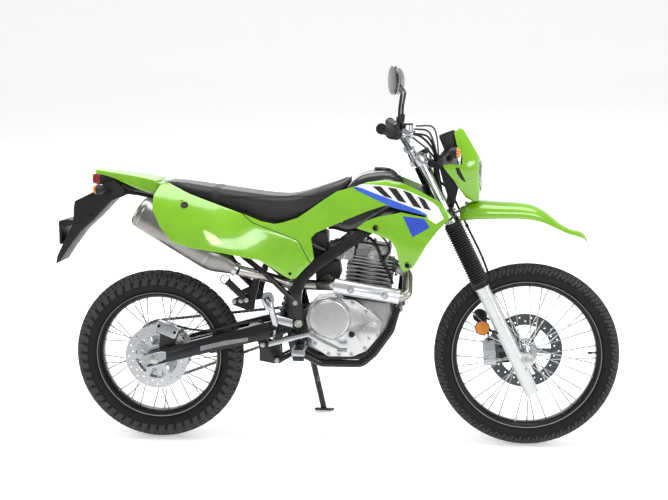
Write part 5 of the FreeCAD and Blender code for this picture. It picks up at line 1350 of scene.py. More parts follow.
@dataclass
class Engine:
    """Crankcase, covers, cylinder, head and carburettor."""

    cover_y: float = 114.0
    clutch: tuple[float, float, float] = (658.0, 487.0, 74.0)
    right_screws: tuple[tuple[float, float], ...] = (
        (581, 482), (596, 532), (636, 553), (700, 551), (741, 547), (791, 514), (836, 475), (829, 428),
        (787, 376), (737, 353), (691, 353), (653, 353), (602, 391))
    left_screws: tuple[tuple[float, float], ...] = (
        (580, 496), (604, 522), (676, 522), (690, 404), (637, 368), (582, 404))

    def build(self, shop: Repeater) -> None:
        """Makes and places the engine pieces."""
        shop.rounded("crankcase", CAST_ALLOY, 1.6)
        shop.parted(
            "engine_covers", COVER_ALLOY, 1.0, [(BLACK_BOLT,
            lambda p: p.y < -114.2 and (p.x - 738) ** 2 + (p.z - 429) ** 2 < 110)])
        shop.parted("cylinder", CAST_ALLOY, 0.5, [(BLACK_ALLOY, lambda p: p.z < 604)])
        shop.rounded("cylinder_head", CAST_ALLOY, 0.7)
        shop.parted("intake", BLACK_PP, 1.0, [(CAST_ALLOY,
                                               lambda p: p.x > 655 and p.x < 720 and p.z < 770)])
        self.covers(shop)
        self.head(shop)
        self.plug_lead(shop)
        self.starter(shop)

    def covers(self, shop: Repeater) -> None:
        """Cover screws, the clutch cover's rim, the oil filler cap and the timing caps."""
        x, z, r = self.clutch
        places = [((sx, -self.cover_y, sz), (0, -1, 0)) for sx, sz in self.right_screws]
        places += [((800 + 23 * math.cos(a), -self.cover_y - 14, 440 + 23 * math.sin(a)), (0, -1, 0))
                   for a in (0.6, 2.7, 4.8)]
        places += [((sx, 92, sz), (0, 1, 0)) for sx, sz in self.left_screws]
        places += [((770 + 62 * math.cos(a), 117.6, 440 + 62 * math.sin(a)), (0, 1, 0))
                   for a in (0.3, 1.35, 2.4, 3.45, 4.5, 5.55)]
        shop.scatter("cover_screws", hex_bolt(9.5, 5), places, ZINC_BOLT)
        rim = bmesh.new()
        lathe(rim, [(r - 1, -2), (r + 5, -2), (r + 5, 4), (r + 2.5, 7), (r - 1, 7)], (x, -self.cover_y, z),
              (0, -1, 0), 72, closed=True)
        lathe(rim, [(r - 12.5, 0), (r - 8.5, 0), (r - 9.2, 0.8), (r - 11.8, 0.8)], (x, -self.cover_y - 26, z),
              (0, -1, 0), 72, closed=True)
        for sx, sz in self.right_screws:
            lathe(rim, [(0, -6), (8.5, -6), (8.5, 0.1), (0, 0.1)], (sx, -self.cover_y, sz), (0, -1, 0), 18)
        shop.add("clutch_cover_rim", rim, COVER_ALLOY)
        arm = bmesh.new()
        lathe(arm, [(0, 0), (13, 0), (13, 22), (9, 26), (9, 34), (0, 34)], (687, -88, 536), (0.12, -0.1, 1),
              20)
        slab(arm, [(676, -97, 566), (698, -97, 566), (716, -99, 585), (706, -99, 592), (690, -97, 577),
                   (676, -97, 577)], (0, 8, 0))
        beveled(arm, 0.8, 1)
        shop.add("clutch_arm", arm, BRIGHT_ALLOY)
        plug = bmesh.new()
        lathe(plug, [(0, 0), (11.5, 0), (11.5, 5), (9.5, 7.5), (0, 7.5)], (738, -self.cover_y - 2, 429),
              (0, -1, 0), 24)
        plate(plug, [(731, 426.5), (745, 426.5), (745, 431.5), (731, 431.5)], -self.cover_y - 9, -3.5)
        beveled(plug, 0.6, 1)
        shop.add("oil_filler_cap", plug, BLACK_PP)
        gen = bmesh.new()
        lathe(gen, [(0, 0), (26, 0), (26, 2.5), (23, 4), (9, 4), (8, 2.5), (0, 2.5)], (770, 117.5, 440),
              (0, 1, 0), 40)
        lathe(gen, [(0, 0), (11, 0), (11, 2), (9, 3.2), (0, 3.2)], (742, 117.5, 492), (0, 1, 0), 24)
        shop.add("timing_caps", gen, BRIGHT_ALLOY, slot="cast_engine")

    def head(self, shop: Repeater) -> None:
        """Cam end covers, the engine stay on the head, the rocker cover's bolts and the port nuts."""
        bm = bmesh.new()
        tilt = Matrix.Rotation(math.radians(8), 3, "Y")
        for side in (-1, 1):
            at = Vector((785, 0, 545)) + tilt @ Vector((6, side * 67.5, 172))
            lathe(bm, [(0, 0), (25, 0), (25, 3), (22, 5), (12, 5), (11, 3.5), (0, 3.5)], at, (0, side, 0), 32)
        stay = [
            (693, 712), (724, 744), (737, 753), (746, 748), (746, 736), (740, 706), (728, 697), (700, 700)]
        plate(bm, stay, -76, 9)
        beveled(bm, 0.8, 1)
        shop.add("head_stay", bm, CAST_ALLOY)
        places = [((738, -76, 742), (0, -1, 0)), ((704, -76, 707), (0, -1, 0))]
        for x, y in ((-56, -44), (56, -44), (-56, 44), (56, 44), (0, -44), (0, 44)):
            places.append((Vector((785, 0, 545)) + tilt @ Vector((x, y, 213.5)), tilt @ Vector((0, 0, 1))))
        shop.scatter("head_bolts", hex_bolt(11, 7), places, ZINC_BOLT)
        port = [((916, -42 + 24 * math.cos(a), 665 + 24 * math.sin(a)), (1, 0, -0.3)) for a in (0.9, 4.04)]
        shop.scatter("port_nuts", hex_bolt(11, 9), port, ZINC_BOLT)

    def starter(self, shop: Shop) -> None:
        """Starter motor behind the cylinder with the cable box over it."""
        bm = bmesh.new()
        lathe(bm, [(0, 0), (20, 0), (29, 3), (30, 8), (30, 96), (27, 100), (14, 102), (12, 112), (0, 112)],
              (640, -56, 612), (0, 1, 0), 36)
        for y in (-44, 30):
            lathe(bm, [(30, 0), (31.2, 1), (31.2, 5), (30, 6)], (640, y, 612), (0, 1, 0), 36, closed=True)
        shop.add("starter_motor", bm, BLACK_ALLOY)
        box = bmesh.new()
        plate(box, [(600, 606), (598, 672), (634, 694), (686, 688), (694, 644), (680, 606)], -44, 84)
        beveled(box, 4.0, 2)
        shop.add("cable_box", box, BLACK_PP)

    def plug_lead(self, shop: Shop) -> None:
        """Spark plug cap with its lead, the breather tube and the carburettor's fuel tube."""
        bm = bmesh.new()
        lathe(bm, [(0, -4), (8, -4), (8, 10), (10, 12), (10, 30), (7, 34), (4, 46), (0, 46)], (838, -58, 690),
              Vector((0.55, -0.55, 0.62)), 18)
        lead = smooth_line(
            [(862, -82, 717), (872, -92, 735), (866, -80, 760), (838, -50, 785), (800, -20, 800)], 8)
        sweep(bm, lead, 3.6, 10)
        breather = smooth_line([(790, -30, 770), (800, -60, 778), (828, -84, 750), (846, -88, 700),
                                (872, -80, 650), (884, -60, 610)], 8)
        sweep(bm, breather, 5.5, 12)
        fuel = smooth_line([(676, -30, 726), (676, -52, 744), (700, -70, 776), (726, -60, 800)], 8)
        sweep(bm, fuel, 4.5, 10)
        shop.add("plug_lead", bm, SOFT_RUBBER)


@dataclass
class Exhaust:
    """Pipe, heat shield and muffler."""

    start: Vector = field(default_factory=lambda: Vector((322, -132, 664)))
    end: Vector = field(default_factory=lambda: Vector((-40, -136, 882)))
    barrel_r: float = 60.0
    pipe_r: float = 19.0
    cone_mm: float = 118.0

    def build(self, shop: Repeater) -> None:
        """Makes and places the exhaust pieces."""
        shop.rounded("exhaust_pipe", PIPE_STEEL, 0.5)
        shop.rounded("heat_shield", SHIELD_ALLOY, 0.8)
        self.muffler(shop)
        self.bands(shop)
        self.shield_seats(shop)

    def along(self) -> Vector:
        """Direction from the muffler's inlet to its outlet."""
        return (self.end - self.start).normalized()

    def muffler(self, shop: Shop) -> None:
        """Muffler turned in one piece: inlet, cone, barrel, rolled end and tail pipe."""
        length = (self.end - self.start).length
        r, neck = self.barrel_r, self.pipe_r + 4
        profile = [(0, 0), (neck, 0), (neck, 8), (neck + 3, 16)]
        profile += [(neck + 3 + (r - neck - 3.6) * math.sin(k / 8 * math.pi / 2) ** 1.15,
                     16 + (self.cone_mm - 16) * k / 8) for k in range(1, 9)]
        profile += [
            (r, self.cone_mm + 3), (r, length - 30), (r - 1.2, length - 28), (r - 1.2, length - 24),
            (r - 0.4, length - 22), (r - 1.4, length - 12), (r - 6, length - 4), (r - 10, length - 0.6),
            (r - 13, length - 2), (r - 18, length - 5), (24, length - 5), (23, length - 1), (20, length),
            (17, length - 1), (17, length - 30), (0, length - 30)]
        bm = bmesh.new()
        lathe(bm, profile, self.start, self.along(), 96)
        shop.add("muffler_shell", bm, MUFFLER_STEEL, ("muffler",), 40)

    def bands(self, shop: Shop) -> None:
        """Weld beads round the muffler and the clamp on its inlet."""
        length = (self.end - self.start).length
        bm = bmesh.new()
        for at in (self.cone_mm, length - 26):
            lathe(
                bm, [(self.barrel_r - 1.5, at - 2.2), (self.barrel_r + 0.7, at - 1),
                (self.barrel_r + 0.7, at + 1), (self.barrel_r - 1.5, at + 2.2)], self.start, self.along(),
                96, closed=True)
        lathe(bm, [(22.6, 0), (26, 0), (26.4, 9), (26, 18), (22.6, 18)], self.start, self.along(), 40,
              closed=True)
        shop.add("muffler_bands", bm, BRIGHT_ALLOY, slot="muffler_steel")

    def shield_seats(self, shop: Shop) -> None:
        """Dished washers and socket bolts of the heat shield."""
        start, end = Vector((912, -137, 575)), Vector((676, -137, 612.6))
        bm = bmesh.new()
        for share in (0.22, 0.74):
            at = start + (end - start) * share + Vector((0, -30.5, 0))
            lathe(bm, [(0, -2), (14, -2), (14.5, 1.0), (12.5, 2.4), (10.5, 1.0), (9, 0.5), (8.6, 3.5),
                       (5.4, 3.9), (5.2, 1.2), (0, 1.2)], at, (0, -1, 0), 32)
        shop.add("shield_bolts", bm, ZINC_BOLT, slot="bright_alloy")


class Skin:
    """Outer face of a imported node, read along Y in the upright frame."""

    def __init__(self, shop: Shop, node: str) -> None:
        """Reads the node's faces."""
        bm = shop.merged(node)
        bmesh.ops.triangulate(bm, faces=bm.faces)
        bmesh.ops.transform(bm, matrix=STRAIGHTEN, verts=bm.verts)
        self.tree = BVHTree.FromBMesh(bm)
        bm.free()

    def y(self, x: float, z: float, side: int) -> float:
        """Outermost Y of the node at a point of its side view, or the nearest it has."""
        hit = self.tree.ray_cast(Vector((x, side * 400, z)), Vector((0, -side, 0)))
        if hit[0] is None:
            hit = self.tree.find_nearest(Vector((x, side * 190, z)))
        return hit[0].y

    def out(self, x: float, z: float, side: int) -> Vector:
        """Outward direction of the skin at a point of its side view."""
        hit = self.tree.ray_cast(Vector((x, side * 400, z)), Vector((0, -side, 0)))
        normal = hit[1] if hit[1] is not None else Vector((0, side, 0))
        return normal if normal.y * side > 0 else -normal

    def film(self, outline: Sequence[tuple[float, float]], side: int, lift: float = 0.4,
             step: float = 10.0) -> Mesh:
        """Thin closed film that lies on the skin inside a side outline.

        Args:
            outline: (x, z) corners.
            side: Side of the machine, -1 right, 1 left.
            lift: Height of the film over the skin.
            step: Distance of the cuts that let it follow the curve.

        Returns:
            The film, in mm.
        """
        bm = bmesh.new()
        bm.faces.new([bm.verts.new((x, 0, z)) for x, z in outline])
        for axis, normal in ((0, Vector((1, 0, 0))), (2, Vector((0, 0, 1)))):
            low = min(v.co[axis] for v in bm.verts)
            high = max(v.co[axis] for v in bm.verts)
            for k in range(1, int((high - low) / step) + 1):
                cut = normal * (low + k * step)
                bmesh.ops.bisect_plane(bm, geom=bm.verts[:] + bm.edges[:] + bm.faces[:], dist=1e-3,
                                       plane_co=cut, plane_no=normal)
        for v in bm.verts:
            v.co.y = self.y(v.co.x, v.co.z, side) - side * 0.5
        grown = bmesh.ops.extrude_face_region(bm, geom=bm.faces[:])
        for item in grown["geom"]:
            if isinstance(item, bmesh.types.BMVert):
                item.co.y += side * (lift + 0.5)
        return bm


@dataclass
class Bodywork:
    """Tank, seat, panels, fender, flap and rear lamps."""

    films: tuple = (
        ("blue", BLUE_FILM, [(742, 970), (775, 966), (806, 955), (855, 938), (928, 912), (981, 893),
        (1008, 880), (1008, 874), (969, 883), (888, 901), (822, 930), (755, 959)]),
        ("white", WHITE_FILM, [(748, 972), (775, 980), (806, 979), (855, 977), (912, 968), (952, 955),
        (1009, 931), (1030, 920), (1048, 905), (1068, 865), (1039, 846), (1012, 864), (1008, 880.4),
        (981, 893.4), (928, 912.4), (855, 938.4), (806, 955.4), (775, 966.4)]),
        ("indigo", INDIGO_FILM, [(923, 872), (999, 864), (1018, 834), (958, 799)]))
    bars: tuple = (
        [(812, 974), (842, 974), (886, 932), (856, 940), (846, 947)],
        [(868, 971), (898, 967), (936, 918), (906, 925)],
        [(922, 962), (950, 952), (990, 900), (960, 908)],
        [(975, 942), (999, 931), (1022, 894), (998, 900)])
    grommets: tuple = ((827, 827), (942, 697))
    strap_x: tuple[float, float] = (226.0, 250.0)

    def build(self, shop: Repeater) -> None:
        """Makes and places the bodywork."""
        for node, finish, width in (("fuel_tank", TANK_COVER, 1.0), ("front_panels", LIME, 0.9),
                                    ("side_panels", LIME, 0.9), ("rear_fender", LIME, 1.0),
                                    ("rear_flap", BLACK_PP, 0.9)):
            shop.rounded(node, finish, width)
        self.graphics(shop)
        self.panel_marks(shop)
        pad = self.seat(shop)
        self.seat_trim(shop, pad)
        self.tank_cap(shop)
        self.tail_lamp(shop)
        self.rear_signals(shop)
        self.flap_marks(shop)

    def graphics(self, shop: Shop) -> None:
        """Blue, white and black films of the tank shrouds."""
        skin = Skin(shop, "front_panels")
        for side, word in SIDES:
            for name, finish, outline in self.films:
                lift = 0.9 if name == "blue" else 0.7
                shop.add(f"{name}_film_{word}", skin.film(outline, side, lift, 8.0), finish)
            bars = bmesh.new()
            for outline in self.bars:
                mesh = as_mesh("bar", skin.film(outline, side, 1.7, 8.0))
                bars.from_mesh(mesh)
                bpy.data.meshes.remove(mesh)
            shop.add(f"black_film_{word}", bars, BLACK_FILM)

    def panel_marks(self, shop: Repeater) -> None:
        """Grommets and screws of the shrouds, and the side panels' key hole, vent and screw."""
        front, rear = Skin(shop, "front_panels"), Skin(shop, "side_panels")
        rings, screws, pits = [], [], []
        for side in (-1, 1):
            out = (0, side, 0)
            for x, z in self.grommets:
                rings.append(((x, front.y(x, z, side), z), out))
                screws.append(((x, front.y(x, z, side) + side * 1.2, z), out))
            rings.append(((136, rear.y(136, 904, side), 904), rear.out(136, 904, side)))
            screws.append(((513, rear.y(513, 652, side), 652), out))
            pits.append((Vector((136, rear.y(136, 904, side), 904)) + rear.out(136, 904, side),
                         rear.out(136, 904, side)))
        grommet = bmesh.new()
        lathe(grommet, [(0, -2), (11.5, -2), (11.5, 1.4), (10, 2.6), (8.2, 1.6), (7.4, -0.5), (0, -0.5)],
              (0, 0, 0), UP, 28)
        shop.scatter("panel_grommets", grommet, rings, BLACK_PP)
        shop.scatter("panel_screws", dome_rivet(12, 3.4), screws, BLACK_BOLT)
        # A black disc in each side panel's key recess: painted shade of the recess
        pit = bmesh.new()
        lathe(pit, [(0, -1), (13.5, -1), (13.5, 0.4), (0, 0.4)], (0, 0, 0), UP, 28)
        shop.scatter("panel_key_pits", pit, pits, SOFT_RUBBER, slot="black_plastic")
        vent = [(207, 821), (222, 818), (254, 800), (286, 768), (262, 767), (240, 772), (222, 790)]
        lip = [
            (201, 826), (222, 823), (256, 805), (291, 768), (286, 767), (254, 799), (222, 817),
            (207, 820.5)]
        for side, word in SIDES:
            # The vent film is pale lime: a painted highlight on the vent
            shop.add(f"panel_vent_{word}", rear.film(vent, side, 0.4), VENT_HIGHLIGHT)
            shop.add(f"panel_vent_lip_{word}", rear.film(lip, side, 1.6, 6.0), LIME)

    def seat(self, shop: Shop) -> Obj:
        """Seat pad, swollen by cloth pressure under its cover."""
        start = shop.frame["nodes"]["seat"].data.copy()
        obj = linked("seat_pad", start)
        remesh = obj.modifiers.new("voxels", "REMESH")
        remesh.mode = "VOXEL"
        remesh.voxel_size = SEAT_VOXEL_MM * MM
        shop.baked(obj)
        bm = bmesh.new()
        bm.from_mesh(obj.data)
        bmesh.ops.smooth_vert(bm, verts=bm.verts, factor=0.5, use_axis_x=True, use_axis_y=True,
                              use_axis_z=True)
        bm.normal_update()
        for v in bm.verts:
            v.co -= v.normal * SEAT_SHRINK_MM * MM
        bm.to_mesh(obj.data)
        bm.free()
        self.swell(shop, obj)
        obj.data.materials.clear()
        shop.place(obj, SEAT_VINYL, ("seat",), 80)
        return obj

    def swell(self, shop: Shop, obj: Obj) -> None:
        """Runs cloth pressure on the pad and caps how far it moves."""
        before = [v.co.copy() for v in obj.data.vertices]
        cloth = obj.modifiers.new("cloth", "CLOTH")
        cloth.settings.effector_weights.gravity = 0
        cloth.settings.use_pressure = True
        cloth.settings.uniform_pressure_force = 4.0
        cloth.settings.quality = 4
        cloth.settings.tension_stiffness = 25
        scene = bpy.context.scene
        for frame_number in range(1, 21):
            scene.frame_set(frame_number)
        shop.baked(obj)
        scene.frame_set(1)
        cap = SEAT_SWELL_MM * MM
        for v, old in zip(obj.data.vertices, before):
            move = v.co - old
            if move.length > cap:
                v.co = old + move * (cap / move.length)

    def seat_trim(self, shop: Shop, pad: Obj) -> None:
        """Strap across the pad and the welt along its lower sides."""
        bm = bmesh.new()
        bm.from_mesh(pad.data)
        bmesh.ops.transform(bm, matrix=STRAIGHTEN, verts=bm.verts)
        tree = BVHTree.FromBMesh(bm)
        bm.free()

        def on_pad(x: float, angle: float, middle_z: float, lift: float = 1.0) -> Vector:
            """Point of the pad in a direction seen from the front."""
            way = Vector((0, math.cos(angle), math.sin(angle)))
            hit = tree.ray_cast(Vector((x, 0, middle_z)) + way * 300, -way)
            return (hit[0] if hit[0] else Vector((x, 0, middle_z)) + way * 60) + way * lift

        strap = bmesh.new()
        rows = []
        for x in self.strap_x:
            rows.append([on_pad(x, math.radians(-12 + 204 * k / 30), 925, 3.0) for k in range(31)])
        under = [[p - (p - Vector((p.x, 0, 925))).normalized() * 4.5 for p in row] for row in rows]
        skinned(strap, list(zip(rows[0], rows[1], under[1], under[0])))
        shop.add("seat_strap", strap, STRAP_WEB)
        welt = bmesh.new()
        for angle in (14, 166):
            line = [on_pad(60 + 560 * k / 40, math.radians(angle), 905 + 40 * (k / 40 - 0.5) ** 2)
                    for k in range(41)]
            sweep(welt, smooth_line(line, 2), 1.3, 6)
        shop.add("seat_welt", welt, STRAP_WEB)

    def tank_cap(self, shop: Repeater) -> None:
        """Filler cap with its grip."""
        bm = bmesh.new()
        lathe(bm, [(0, 0), (31, 0), (32, 2), (32, 9), (29, 12.5), (20, 13.4), (18, 12.6), (0, 12.6)],
              (843.2, 0, 1019), (2, 0, 22), 60)
        slab(bm, [(820, -5, 1030), (866, -5, 1026), (866, 5, 1026), (820, 5, 1030)], (0.4, 0, 5))
        shop.add("filler_cap", bm, BLACK_PP)

    def tail_lamp(self, shop: Shop) -> None:
        """Red lens with its ribs in a dark housing."""
        shop.parted("tail_lamp", RED_LENS, 1.2, [(BLACK_PP, lambda p: p.x > -206)])
        ribs = bmesh.new()
        for i in range(7):
            y = -33 + 11 * i
            slab(ribs, [(-237.2, y - 0.7, 974), (-237.2, y + 0.7, 974), (-237.2, y + 0.7, 1000),
                        (-237.2, y - 0.7, 1000)], (2.0, 0, 0))
        shop.add("tail_lens_ribs", ribs, RED_LENS)

    def rear_signals(self, shop: Shop) -> None:
        """Rear indicators: stalk, black cup and amber lens facing back."""
        cups, lenses = bmesh.new(), bmesh.new()
        for side in (-1, 1):
            centre = Vector((-183, side * 148, 957))
            signal_head(cups, lenses, centre, -1.0, 19.6, 29.0, 19.4)
            sweep(
                cups, [(-168, side * 60, 945), (-174, side * 90, 950), (-180, side * 122, 955)],
                [8.5, 7, 8], 14)
        shop.add("rear_signal_cups", cups, BLACK_PP, ("rear_indicators",), 40)
        shop.add("rear_signal_lenses", lenses, AMBER)

    def flap_marks(self, shop: Repeater) -> None:
        """Screws of the tail brackets and the blank plate's bolts."""
        places = [((-88, side * 62.2, 942), (0, side, 0)) for side in (-1, 1)]
        places += [((-240, side * 62.2, 852), (0, side, 0)) for side in (-1, 1)]
        places += [((-363.2, y, 815), (-1, 0, 0)) for y in (-42, 42)]
        shop.scatter("flap_screws", hex_bolt(9, 5), places, BLACK_BOLT, slot="black_plastic")


def signal_head(cups: Mesh, lenses: Mesh, centre: Vector, facing: float,
                half_x: float, half_y: float, half_z: float) -> None:
    """Adds one indicator head: an oval cup and the lens on it.

    Args:
        cups: Mesh of the housings.
        lenses: Mesh of the lenses.
        centre: Middle of the head.
        facing: +1 when the lens looks forward, -1 back.
        half_x: Half length.
        half_y: Half width.
        half_z: Half height.
    """
    cup = [(-1.0, 0.34), (-0.93, 0.52), (-0.7, 0.74), (-0.3, 0.92), (0.1, 1.0), (0.24, 1.0), (0.24, 0.93)]
    lens = [(0.1, 0.93), (0.4, 0.93), (0.66, 0.86), (0.86, 0.68), (0.97, 0.4), (1.0, 0.2)]
    for bm, stations in ((cups, cup), (lenses, lens)):
        skinned(
            bm, [circle(centre + Vector((facing * x * half_x, 0, 0)), (0, half_y * k, 0),
            (0, 0, half_z * k), 32) for x, k in stations])


@dataclass
class Steering:
    """Clamps, fork, handlebar, controls, mirrors, mask, lamps and front fender."""

    boot_low: float = 332.0
    boot_high: float = 572.0
    boot_r: float = 32.0
    boot_ribs: int = 24
    stanchion_r: float = 18.5
    bar_line: tuple = ((0, 0, 0), (0, 66, 0), (-27, 186, 54), (-85, 400, 81))

    def build(self, shop: Repeater) -> None:
        """Makes and places the steering pieces."""
        shop.rounded("lower_clamp", FRAME_ENAMEL, 1.5)
        shop.rounded("upper_clamp", BRIGHT_ALLOY, 1.5, slot="fork_silver")
        shop.rounded("stanchions", CHROME, 0.5)
        shop.rounded("fork_legs", LEG_LACQUER, 1.5)
        shop.rounded("front_axle", ZINC_BOLT, 0.8)
        shop.rounded("handlebar", BRIGHT_ALLOY, 0.6, slot="fork_silver")
        shop.rounded("headlamp_mask", LIME, 0.9)
        shop.rounded("headlamp_stay", FRAME_ENAMEL, 0.8)
        shop.rounded("instrument", BLACK_PP, 1.0)
        shop.rounded("front_fender", LIME, 0.7)
        shop.parted("front_caliper", BRIGHT_ALLOY, 0.9, [(BLACK_ALLOY, lambda p: p.y > 78 and p.x > 1262)])
        shop.parted("mirrors", GLOSS_BLACK, 0.8, [(BLACK_PP, lambda p: p.z < 1292)])
        shop.parted(
            "hand_controls", BLACK_PP, 0.8, [(BRIGHT_ALLOY,
            lambda p: p.z > 1150 and abs(p.y) < 238 and p.x > 952),
            (LEVER_ALLOY, lambda p: p.x > bar_reach(abs(p.y)) + 34)])
        self.lamp(shop)
        self.mask_slots(shop)
        self.mirror_glass(shop)
        self.dash(shop)
        self.grips(shop)
        self.gaiters(shop)
        self.signals(shop)
        self.fork_details(shop)
        self.hoses(shop)

    def bar_point(self, side: int, y: float) -> Vector:
        """Point of the handlebar's outer straight at a distance from the middle."""
        centre = fork(-11, 0, 880)
        a, b = [centre + Vector((x, side * w, z)) for x, w, z in self.bar_line[2:]]
        return a + (b - a) * ((y - abs(a.y)) / (abs(b.y) - abs(a.y)))

    def lamp(self, shop: Shop) -> None:
        """Headlamp lens with the bright bowl and bulb that show through it."""
        shop.rounded("headlamp", CLEAR_LENS, 2.0, 3)
        bm = bmesh.new()
        profile = [(6 + 36 * (k / 8) ** 0.55, 2 + 44 * k / 8) for k in range(9)]
        profile += [(8 + 36 * (k / 8) ** 0.55, 44 * k / 8) for k in range(8, -1, -1)]
        lathe(bm, profile, (1146, 0, 1006), (1, 0, 0), 48, closed=True)
        lathe(bm, [(0, 4), (5, 4), (5, 22), (3, 26), (0, 26)], (1146, 0, 1006), (1, 0, 0), 16)
        shop.add("lamp_bowl", bm, CHROME, slot="clear_lens")

    def mask_slots(self, shop: Shop) -> None:
        """Black films in the cheeks of the mask where its slots show dark: painted shade of the openings."""
        skin = Skin(shop, "headlamp_mask")
        slot = [(1107, 1040), (1120, 1039), (1133, 1013), (1147, 986), (1130, 995), (1114, 1017)]
        for side, word in SIDES:
            shop.add(f"mask_slot_{word}", skin.film(slot, side, 0.4, 6.0), SOFT_RUBBER,
                     slot="black_plastic")

    def mirror_glass(self, shop: Shop) -> None:
        """Silvered glass on the rider's side of each mirror."""
        bm = bmesh.new()
        for side in (-1, 1):
            turn = Matrix.Rotation(math.radians(-14 * side), 3, "Z")
            head = Vector((892, side * 306, 1348))
            skinned(
                bm, [circle(head + turn @ Vector((x, 0, 0)), turn @ Vector((0, 76 * k, 0)),
                (0, 0, 52 * k), 64) for x, k in ((-4.5, 0.86), (-6.9, 0.86), (-7.1, 0.84))])
        shop.add("mirror_glass", bm, MIRROR_GLASS)

    def dash(self, shop: Shop) -> None:
        """Display, its bezel, the ignition lock and small warning lamps."""
        along = Vector((58, 0, 22)).normalized()
        out = Vector((-along.z, 0, along.x))
        corner = Vector((1046, 0, 1150)) + along * 9 + out * 0.1

        def board(bm: Mesh, at: float, length: float, y0: float, y1: float, height: float) -> None:
            """Adds a flat block on the instrument's upper face."""
            base = corner + along * at
            slab(bm, [base + Vector((0, y0, 0)), base + along * length + Vector((0, y0, 0)),
                      base + along * length + Vector((0, y1, 0)), base + Vector((0, y1, 0))], out * height)

        bezel, glass, lamps = bmesh.new(), bmesh.new(), bmesh.new()
        board(bezel, 0, 42, -42, 42, 1.6)
        board(glass, 4, 32, -36, 20, 2.2)
        for i in range(4):
            board(lamps, 5 + 8 * i, 4.5, 26, 32, 2.4)
        for bm in (bezel, glass, lamps):
            beveled(bm, 0.4, 1)
        shop.add("dash_bezel", bezel, GLOSS_BLACK)
        shop.add("dash_display", glass, DISPLAY)
        shop.add("dash_lamps", lamps, AMBER)
        lock = bmesh.new()
        at = fork(36, 0, 838)
        lathe(lock, [(0, -4), (16, -4), (16, 12), (14, 14), (6, 14), (5, 12), (0, 12)], at, AXIS_UP, 30)
        slab(lock, [at + Vector((-2, -8, 10)), at + Vector((2, -8, 10)), at + Vector((2, 8, 10)),
                    at + Vector((-2, 8, 10))], AXIS_UP * 4)
        shop.add("ignition_lock", lock, BLACK_ALLOY, slot="black_plastic")

    def grips(self, shop: Shop) -> None:
        """Ribbed rubber grips with their flanges and end caps."""
        bm = bmesh.new()
        for side in (-1, 1):
            a, b = self.bar_point(side, 278), self.bar_point(side, 404)
            way = (b - a).normalized()
            length = (b - a).length
            line, radii = [], []
            for at, r in ((0, 24), (1.5, 26), (5, 26), (6.5, 24), (8, 17)):
                line.append(a + way * at)
                radii.append(r)
            ribs = 17
            for i in range(ribs):
                at = 10 + (length - 24) * i / ribs
                pitch = (length - 24) / ribs
                for share, r in ((0.1, 15.6), (0.3, 17.0), (0.7, 17.0), (0.9, 15.6)):
                    line.append(a + way * (at + pitch * share))
                    radii.append(r)
            for at, r in ((length - 12, 16), (length - 9, 19), (length - 2, 19), (length, 17)):
                line.append(a + way * at)
                radii.append(r)
            sweep(bm, line, radii, 28)
        shop.add("ribbed_grips", bm, SOFT_RUBBER, ("grips",), 45)

    def gaiters(self, shop: Repeater) -> None:
        """Rubber bellows with round ribs, and the clips at their ends."""
        bm, clips = bmesh.new(), bmesh.new()
        pitch = (self.boot_high - self.boot_low - 24) / (self.boot_ribs - 1)
        for side in (-1, 1):
            profile = [(self.stanchion_r + 0.3, 4), (25.4, 4), (25.4, -14), (28.5, -18), (30, -16), (30, 6)]
            first = 12 - pitch / 2
            steps = 8
            for i in range(self.boot_ribs * steps + 1):
                wave = 0.5 - 0.5 * math.cos(2 * math.pi * i / steps)
                profile.append((self.boot_r - 5.4 + 5.4 * wave ** 0.7, first + pitch * i / steps))
            top = self.boot_high - self.boot_low
            profile += [(25, top - 3), (25, top - 0.5), (self.stanchion_r + 0.3, top - 0.5)]
            lathe(bm, profile, fork(LEG_OFFSET, side * LEG_Y, self.boot_low), AXIS_UP, 48, closed=True)
            for at, r in ((-10, 30.0), (top - 6, 26.2)):
                lathe(clips, [(r - 2, at - 3.5), (r + 0.9, at - 3.5), (r + 0.9, at + 3.5), (r - 2, at + 3.5)],
                      fork(LEG_OFFSET, side * LEG_Y, self.boot_low), AXIS_UP, 48, closed=True)
        shop.add("fork_bellows", bm, SOFT_RUBBER, ("fork_gaiters",), 60)
        shop.add("bellows_clips", clips, BLACK_BOLT, slot="black_rubber")

    def signals(self, shop: Shop) -> None:
        """Front indicators and the round side reflectors."""
        cups, lenses, reflectors = bmesh.new(), bmesh.new(), bmesh.new()
        for side in (-1, 1):
            signal_head(cups, lenses, Vector((1104.5, side * 154, 1095.5)), 1.0, 20.4, 31.5, 20.4)
            sweep(cups, [(1096, side * 62, 1088), (1100, side * 92, 1092), (1103, side * 126, 1095)],
                  [8, 6.5, 8], 14)
            centre = Vector((1212, side * 118, 461))
            lathe(cups, [(0, 0), (27, 0), (27, 5), (26, 6.4), (24.4, 6.4), (24.4, 3), (0, 3)], centre,
                  (0, side, 0), 40)
            sweep(cups, [centre + Vector((0, side * 2, 0)), fork(LEG_OFFSET, side * 108, 120)], 4.6, 12)
            lathe(
                reflectors, [(0, 3.2), (24.2, 3.2), (24.2, 6.6), (22.6, 8.4), (0, 8.9)], centre,
                (0, side, 0), 40)
        shop.add("front_signal_cups", cups, BLACK_PP, ("front_signals",), 40)
        shop.add("front_signal_lenses", lenses, AMBER)
        shop.add("side_reflectors", reflectors, REFLECTOR)

